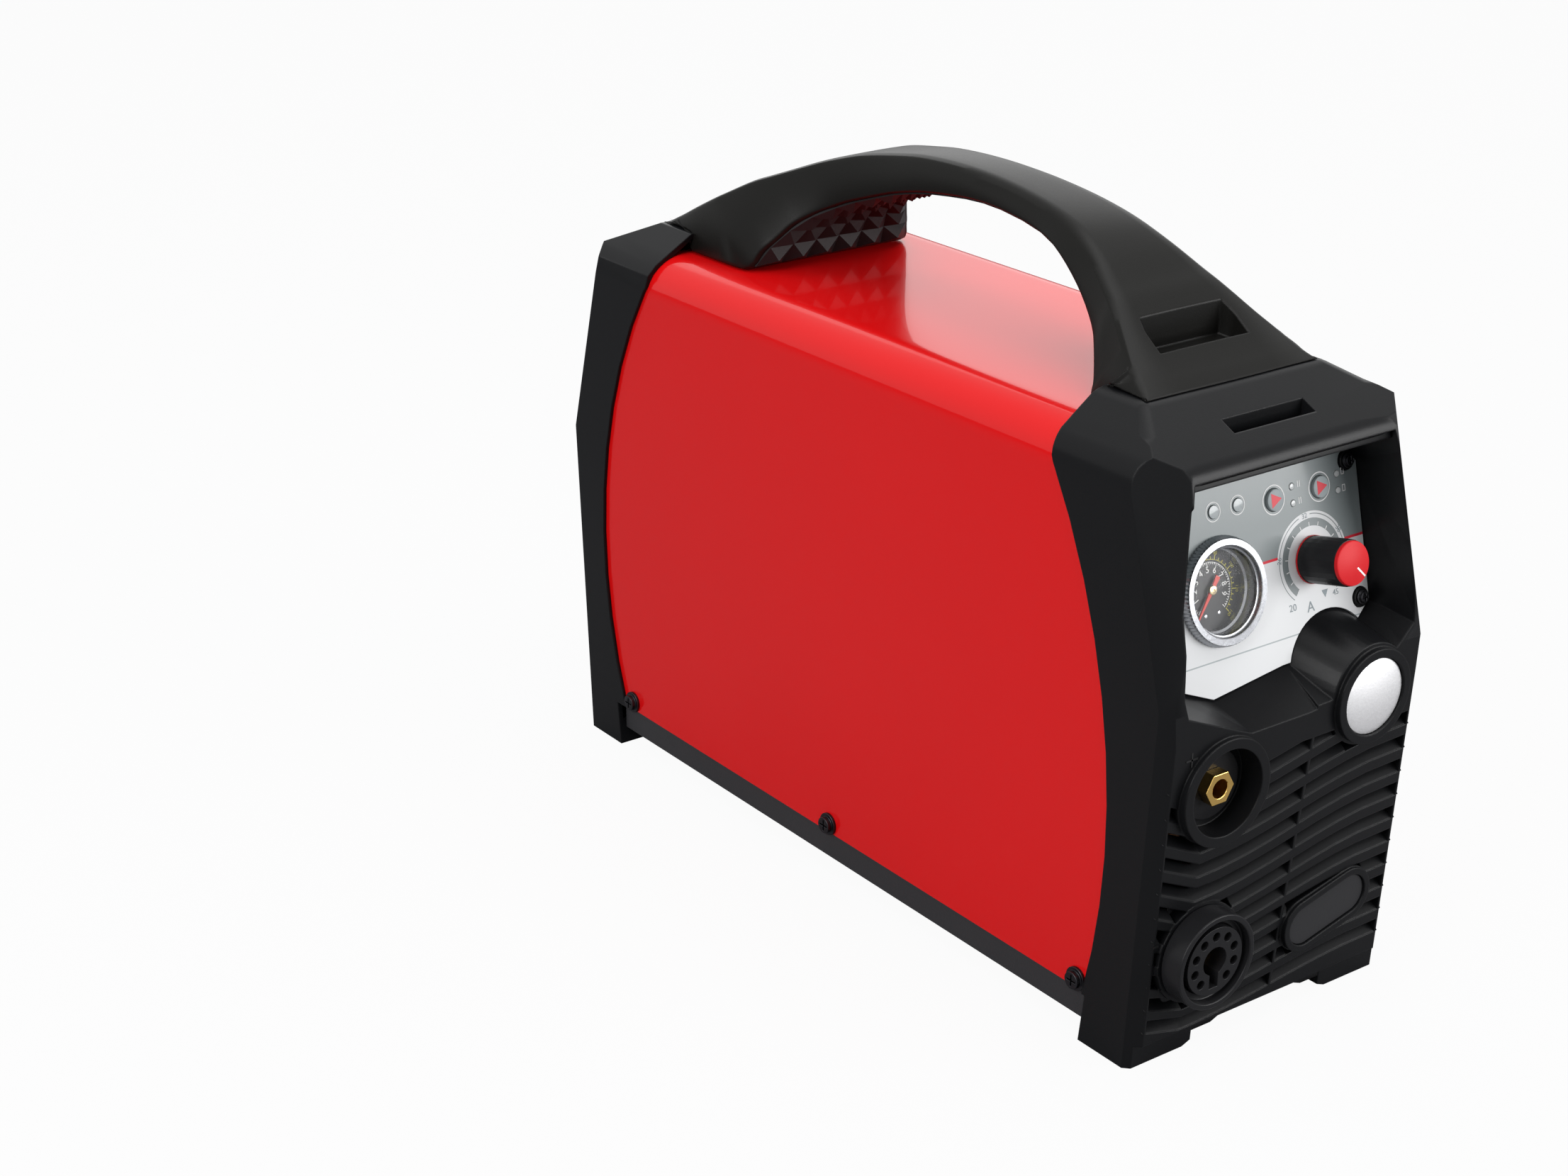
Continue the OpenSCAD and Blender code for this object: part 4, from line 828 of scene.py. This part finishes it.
key_film = moulded("key_film", (0.30, 0.335, 0.345), grain=1200, depth=0.00001, roughness=0.40)
for (x, y), node, body in ((buttons_at[0], "mode_button", "mode_key"),
                           (buttons_at[1], "air_button", "air_key")):
    profile = [(0, -4.9), (6.5, -4.9), (6.5, -1.95), (5, -1.95), (5, 1.1), (4.85, 1.4), (4.5, 1.58),
               (0, 1.6)]
    turned(node + "_cap", profile, at_panel(x, y), key_film, body, [node], 48)
    arrow = [(-2.7, -3.4), (3.6, 0.2), (-2.7, 3.4)]
    printed(node + "_arrow", red_ink, [(arrow, at_panel(x, y, 0.0016))], body)


def frosted(name, colour):
    lens = Finish(name)
    haze = lens.noise(lens.place(), 900, 2)
    tint = lens.mix(haze, tuple(c * 0.94 for c in colour) + (1,), (*colour, 1))
    return lens.principled(Base_Color=tint, Roughness=haze * 0.12 + 0.22, Coat_Weight=0.5)


lamp_film = frosted("lamp_film", (0.33, 0.365, 0.375))
light_film = frosted("light_film", (0.50, 0.52, 0.52))
bm = bmesh.new()
for x, y in lamps_at:
    part = bmesh.new()
    lathe(part, [(0, -5), (3, -5), (3, 0.3), (2.8, 0.6), (0, 0.8)], 32, at_panel(x, y))
    mesh = bpy.data.meshes.new("lamp")
    part.to_mesh(mesh)
    bm.from_mesh(mesh)
    part.free()
finished(bm, "lamp_windows", lamp_film, stands_for=["lamp_lenses"])
bm = bmesh.new()
for x, y in leds_at:
    part = bmesh.new()
    lathe(part, [(0, -5), (1.5, -5), (1.5, 0.1), (1.3, 0.3), (0.6, 0.4), (0, 0.4)], 24, at_panel(x, y))
    mesh = bpy.data.meshes.new("light")
    part.to_mesh(mesh)
    bm.from_mesh(mesh)
    part.free()
finished(bm, "mode_lights", light_film, stands_for=["mode_leds"])

# ---------- pressure gauge ----------
# A small dial gauge in a chromed brass case. Its flange is coin-edged and stepped inside; a
# black dial with white and yellow scales lies under a clear window.


def metal(name, colour, roughness=0.25, grain=500, depth=0.00002):
    plate = Finish(name)
    place = plate.place()
    fine = plate.noise(place, grain, 3)
    broad = plate.noise(place, 20, 2)
    tint = plate.mix(broad, tuple(c * 0.93 for c in colour) + (1,),
                     tuple(min(1, c * 1.03) for c in colour) + (1,))
    return plate.principled(Base_Color=tint, Metallic=1.0, Roughness=fine * 0.12 + (roughness - 0.06),
                            Normal=plate.bump(fine, depth))


chrome = metal("chrome", (0.40, 0.41, 0.43), 0.26)
gauge_place = at_panel(*gauge_at)
bm = bmesh.new()
lathe(bm, [(0, -24), (20.5, -24), (20.5, 0), (25, 0), (25, 1.0), (24.9, 1.8), (24.3, 4.4), (23.7, 4.95),
           (21.0, 5), (20.6, 4.8), (20.3, 3.2), (19.9, 3.0), (19.5, 2.9), (19.3, 1.2), (19.2, -3),
           (18.2, -3.6), (18.0, -8),
           (0, -8)], 160, Matrix.Identity(4))
for v in bm.verts:
    radius = math.hypot(v.co.x, v.co.y)
    column = round(math.atan2(v.co.y, v.co.x) / (2 * math.pi) * 160)
    if radius > 0.0242 and column % 2:
        v.co.x *= 1 - 0.00060 / radius
        v.co.y *= 1 - 0.00060 / radius
bmesh.ops.transform(bm, matrix=gauge_place, verts=bm.verts)
finished(bm, "gauge_shell", chrome, stands_for=["gauge_case"], smooth=24)
dial_black = ink("dial_black", (0.010, 0.010, 0.012))
turned("dial_plate", [(0, -8), (18.8, -8), (18.8, -7.2), (18.6, -7), (0, -7)], gauge_place, dial_black,
       stands_for=["gauge_dial"])


def at_dial(turn, reach, up=-0.00697):
    """The place on the dial at a compass angle, reach in mm from its middle."""
    spin = Matrix.Rotation(math.radians(-turn), 4, "Z")
    return gauge_place @ spin @ Matrix.Translation((0, reach / 1000, up))


dial_white = ink("dial_white", (0.80, 0.80, 0.78))
dial_yellow = ink("dial_yellow", (0.62, 0.56, 0.06))
marks = [(bar(0.55, 0.35), at_dial(scale_start + scale_sweep * k / 70, 12.4)) for k in range(71)]
marks += [(bar(0.35, 1.9 if k % 5 == 0 else 1.1),
           at_dial(scale_start + scale_sweep * k / 50, 11.6 if k % 5 == 0 else 12.0)) for k in range(51)]
printed("bar_ticks", dial_white, marks)
marks = [(bar(0.62, 0.3), at_dial(scale_start + scale_sweep * k / 70, 13.6)) for k in range(71)]
marks += [(bar(0.4, 2.2 if k % 4 == 0 else 1.3),
           at_dial(scale_start + scale_sweep * k / 28, 14.8 if k % 4 == 0 else 14.3)) for k in range(29)]
printed("psi_ticks", dial_yellow, marks)
words = [(str(k), 4.1, at_dial(scale_start + scale_sweep * k / 10, 9.0)) for k in range(1, 10)]
figures("bar_figures", dial_white, words)
words = [(str(k * 20), 2.3, at_dial(scale_start + scale_sweep * k / 7, 16.7)) for k in range(0, 8)]
figures("psi_figures", dial_yellow, words)
rivet_steel = metal("rivet_steel", (0.75, 0.75, 0.76), 0.2)
bm = bmesh.new()
for turn in (-160, 160):
    part = bmesh.new()
    lathe(part, [(0, 0), (0.9, 0), (0.75, 0.35), (0, 0.5)], 16, at_dial(turn, 12.0))
    mesh = bpy.data.meshes.new("rivet")
    part.to_mesh(mesh)
    bm.from_mesh(mesh)
    part.free()
finished(bm, "dial_rivets", rivet_steel)
needle_red = ink("needle_red", (0.72, 0.045, 0.030))
needle_turn = Matrix.Rotation(math.radians(-130), 4, "Z")
bm = bmesh.new()
outline = [(-7.0, -1.35), (-7.0, 1.35), (-2.0, 0.9), (0, 1.2), (4, 0.8), (15.2, 0.28), (15.2, -0.28),
           (4, -0.8), (0, -1.2), (-2.0, -0.9)]
face = bm.faces.new([bm.verts.new((x / 1000, y / 1000, -0.0058)) for x, y in outline])
out = bmesh.ops.extrude_face_region(bm, geom=[face])["geom"]
bmesh.ops.translate(bm, verts=[v for v in out if isinstance(v, bmesh.types.BMVert)], vec=(0, 0, 0.0006))
bmesh.ops.recalc_face_normals(bm, faces=bm.faces)
bmesh.ops.transform(bm, matrix=gauge_place @ needle_turn, verts=bm.verts)
finished(bm, "pointer", needle_red, "needle", ["gauge_needle"])
pale_brass = metal("pale_brass", (0.80, 0.66, 0.40), 0.22)
turned("pointer_hub", [(0, -6.9), (1.5, -6.9), (2.2, -5.2), (2.2, -4.6), (1.9, -4.3), (0.8, -4.2),
                       (0.7, -4.5), (0, -4.5)],
       gauge_place, pale_brass, "needle", steps=32)


def clear_window():
    glass = Finish("clear_window")
    haze = glass.noise(glass.place(), 60, 2)
    tint = glass.mix(haze, (0.92, 0.95, 0.96, 1), (0.97, 0.98, 0.99, 1))
    return glass.principled(Base_Color=tint, Roughness=0.03, Alpha=haze * 0.01 + 0.03, Coat_Weight=0.5,
                            Coat_Roughness=0.02)


turned("gauge_window", [(0, 1.9), (17, 1.7), (19.0, 1.1), (19.0, 1.6), (17, 2.4), (0, 3.0)], gauge_place,
       clear_window(),
       stands_for=["gauge_lens"])

# ---------- current knob ----------
# A black nylon knob, finely ribbed, with a red cap let into its end and a white pointer line
# on the cap. A red washer line shows at its foot.

knob_plastic = moulded("knob_plastic", (0.0110, 0.0110, 0.0120), roughness=0.24, depth=0.00001)
cap_plastic = moulded("cap_plastic", (0.47, 0.010, 0.014), grain=1200, roughness=0.40)
knob_place = at_panel(*knob_at)
bm = bmesh.new()
lathe(bm, [(0, 14), (3.1, 14), (3.1, 4.9), (5.6, 4.9), (5.6, 0.4), (10.8, 0.4), (11, 0.8), (11, 1.9),
           (10.85, 2.0), (10.7, 22.2),
           (10.5, 22.8), (10.0, 23.0), (0, 23.0)], 144, Matrix.Identity(4))
for v in bm.verts:
    column = round(math.atan2(v.co.y, v.co.x) / (2 * math.pi) * 144)
    radius = math.hypot(v.co.x, v.co.y)
    if radius > 0.0105 and v.co.z > 0.00195 and column % 6 == 0:
        v.co.x *= 1 + 0.00012 / radius
        v.co.y *= 1 + 0.00012 / radius
bmesh.ops.transform(bm, matrix=knob_place, verts=bm.verts)
finished(bm, "knob_barrel", knob_plastic, "knob", ["current_knob"], smooth=35)
turned("knob_ring", [(10.7, 0.5), (11.15, 0.5), (11.15, 1.3), (10.7, 1.3)], knob_place, cap_plastic,
       "knob",
       steps=96, closed=True)
turned("knob_disc", [(0, 22.6), (10.2, 22.6), (10.3, 24.2), (10.1, 24.7), (9.6, 24.95), (0, 25)],
       knob_place, cap_plastic, "knob",
       ["knob_cap"], steps=72)
printed("knob_pointer", white_ink, [(bar(6.2, 0.9), knob_place @ Matrix.Rotation(math.radians(-48), 4, "Z")
        @ Matrix.Translation((0.0064, 0, 0.02498)))], "knob", thick=0.0001)


def machined(node, name, material, width=0.0003, segments=2, angle=30, smooth=32):
    """A CAD node's shape with its edges broken."""
    body = frame["nodes"][node]["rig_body"]
    piece = finished(copied(node), name, material, body, [node], smooth)
    return rounded(piece, width, segments, angle)


zinc_plate = metal("zinc_plate", (0.62, 0.62, 0.63), 0.34, 300)
mild_steel = metal("mild_steel", (0.50, 0.51, 0.53), 0.38, 400)
machined("knob_spindle", "knob_shaft", mild_steel)
machined("potentiometer", "control_pot", mild_steel)
machined("gauge_bracket", "gauge_clamp", zinc_plate)

# ---------- sockets, badge and blanking plate ----------
# The earth socket is a recessed bayonet with a gilt hexagon contact. The torch socket has a
# keyed, nine-hole insulator inside a thick collar. A satin dome closes the upper right and a
# flat plate closes the unused opening.

socket_plastic = moulded("socket_plastic", (0.0105, 0.0105, 0.0115), grain=1100, roughness=0.30)
brass = metal("gilt_brass", (0.86, 0.56, 0.17), 0.20, 700)
machined("earth_socket", "earth_body", socket_plastic, 0.0004)
machined("earth_contact", "earth_hexagon", brass, 0.0005, segments=3)
machined("earth_nuts", "earth_lock_nuts", zinc_plate, 0.0004)
machined("torch_socket", "torch_collar", socket_plastic, 0.0008, segments=3)
machined("torch_insulator", "torch_key_block", socket_plastic, 0.0003)
machined("torch_contacts", "torch_pins", brass, 0.0002)
machined("torch_nut", "torch_lock_nut", socket_plastic, 0.0004)
satin_silver = metal("satin_silver", (0.78, 0.78, 0.79), 0.52, 900, 0.00003)
badge_low, badge_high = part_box("badge_disc")
badge_middle = (badge_low + badge_high) / 2
badge_place = Matrix.Translation((badge_middle.x, badge_high.y, badge_middle.z)) @ facing_front
badge_r = (badge_high.x - badge_low.x) * 500
profile = [(0, 0), (badge_r - 0.3, 0), (badge_r, 0.4), (badge_r, 1.9), (badge_r - 0.4, 2.3)]
profile += [(badge_r * k / 10, 2.3 + 2.0 * (1 - (k / 10) ** 2)) for k in range(9, -1, -1)]
turned("badge_dome", profile, badge_place, satin_silver, stands_for=["badge_disc"],
       steps=72)
plate_plastic = moulded("plate_plastic", (0.0200, 0.0200, 0.0215), grain=900, roughness=0.5)
machined("blanking_plate", "closing_plate", plate_plastic, 0.0004)

earth_sign = Matrix.Translation((-0.0653, -0.23850, 0.1572)) @ facing_front
torch_sign = Matrix.Translation((-0.0747, -0.23325, 0.0652)) @ facing_front
# Painted shadow: these black + and − marks stand for the shade in the signs moulded into the bezel.
painted_sign_shadow = ink("painted_sign_shadow", (0.0008, 0.0008, 0.0010))
printed("polarity_sign_shadows", painted_sign_shadow, [
    (bar(7.0, 0.9), earth_sign), (bar(0.9, 7.0), earth_sign), (bar(3.2, 0.9), torch_sign)],
    thick=0.00035)

# ---------- screws ----------
# Black flange-head screws hold the cover, the bezels and the panel. The handle's screws are
# zinc plated.

black_zinc = metal("black_zinc", (0.045, 0.045, 0.050), 0.34, 700)
for node, name in (("panel_screws", "panel_fixings"), ("cover_screws", "cover_fixings"),
                   ("bezel_screws", "bezel_fixings")):
    machined(node, name, black_zinc, 0.00025)
machined("handle_screws", "handle_fixings", zinc_plate, 0.0003)

# ---------- rear panel and fan ----------
# A grey-coated steel sheet closes the rear window. The axial fan is screwed behind it, with a
# plated wire guard outside.

machined("rear_panel", "rear_sheet", powder_coat("grey_coat", (0.040, 0.041, 0.045), 0.45), 0.0004)
machined("rear_panel_screws", "rear_fixings", black_zinc, 0.00025)
machined("fan_frame", "fan_housing", moulded("fan_plastic", (0.013, 0.013, 0.014), roughness=0.4), 0.0005)
machined("fan_rotor", "fan_blades", moulded("rotor_plastic", (0.028, 0.028, 0.031), roughness=0.34),
         0.0004)
machined("fan_guard", "wire_guard", metal("guard_chrome", (0.70, 0.71, 0.73), 0.22), 0.0002,
         angle=50)
machined("fan_screws", "fan_fixings", black_zinc, 0.00025)

# ---------- mains switch, gland and air inlet ----------
# A snap-in rocker switch with a red rocker, a nylon gland for the mains lead, a brass hose
# barb, and the pull-up knob of the pressure regulator.

machined("mains_switch", "switch_shell", socket_plastic, 0.0004)
rocker_plastic = moulded("rocker_plastic", (0.50, 0.014, 0.016), grain=900, roughness=0.22)
machined("switch_rocker", "rocker_key", rocker_plastic, 0.0008, segments=3)
machined("cable_gland", "gland_body", socket_plastic, 0.0005)
machined("gland_nut", "gland_lock_nut", socket_plastic, 0.0004)
machined("air_inlet", "hose_barb", brass, 0.0003)
machined("regulator_body", "regulator_block", metal("cast_zinc", (0.50, 0.51, 0.52), 0.42, 250, 0.00006),
         0.0012, 3)
machined("regulator_stem", "regulator_spindle", brass, 0.0003)
machined("regulator_knob", "regulator_cap", knob_plastic, 0.0006, 3)

# ---------- inner works ----------
# Heat sinks with their power modules, the main board with transformer, choke, capacitors and
# relay, the busbar to the earth socket, and the air valve with its hose.

machined("heat_sinks", "cooling_fins", metal("extruded_aluminium", (0.66, 0.67, 0.68), 0.36, 260), 0.0002)
machined("power_modules", "power_blocks",
         moulded("epoxy", (0.018, 0.018, 0.020), grain=900, roughness=0.5), 0.0006)
resin = moulded("board_resin", (0.022, 0.150, 0.062), grain=600, roughness=0.35)
machined("main_board", "power_board", resin, 0.0002)
machined("control_board", "display_board", resin, 0.0002)
sleeve = moulded("capacitor_sleeve", (0.022, 0.045, 0.19), grain=500, roughness=0.28)
machined("capacitors", "capacitor_cans", sleeve, 0.0016, 3)
machined("pilot_relay", "relay_case",
         moulded("relay_plastic", (0.62, 0.59, 0.48), grain=700, roughness=0.4), 0.0008)
machined("output_busbar", "copper_bar", metal("copper_bar", (0.86, 0.46, 0.28), 0.3), 0.0003)


def wound_copper(name, at, pitch):
    """Enamelled wire lying in close turns around an upright axis."""
    coil = Finish(name)
    place = coil.place(at, (0, 0, 0), (1, 1, 1))
    x, y, z = coil.axes(place)
    turn = y.maths("ARCTAN2", x)
    wires = (turn * (2 * math.pi / pitch)).maths("SINE") * 0.5 + 0.5
    # The two copper tones draw the turns of wire. The darker one in the grooves between them is painted
    # shade.
    tint = coil.mix(wires, (0.30, 0.105, 0.035, 1), (0.72, 0.31, 0.13, 1))
    return coil.principled(Base_Color=tint, Metallic=0.7, Roughness=wires * 0.15 + 0.25,
                           Normal=coil.bump(wires, 0.0006))


for node, name, slot in (("transformer", "transformer_coil", "copper"),
                         ("pfc_choke", "choke_coil", "copper")):
    low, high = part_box(node)
    machined(node, name, wound_copper(name + "_wire", tuple((low + high) / 2), 0.13), 0.001, 3)
machined("solenoid_valve", "valve_block",
         moulded("valve_plastic", (0.04, 0.11, 0.30), grain=600, roughness=0.35), 0.001, 3)
machined("air_hose", "valve_hose", moulded("hose_plastic", (0.025, 0.10, 0.36), grain=300, roughness=0.3),
         0.0002, smooth=60)

low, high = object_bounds()
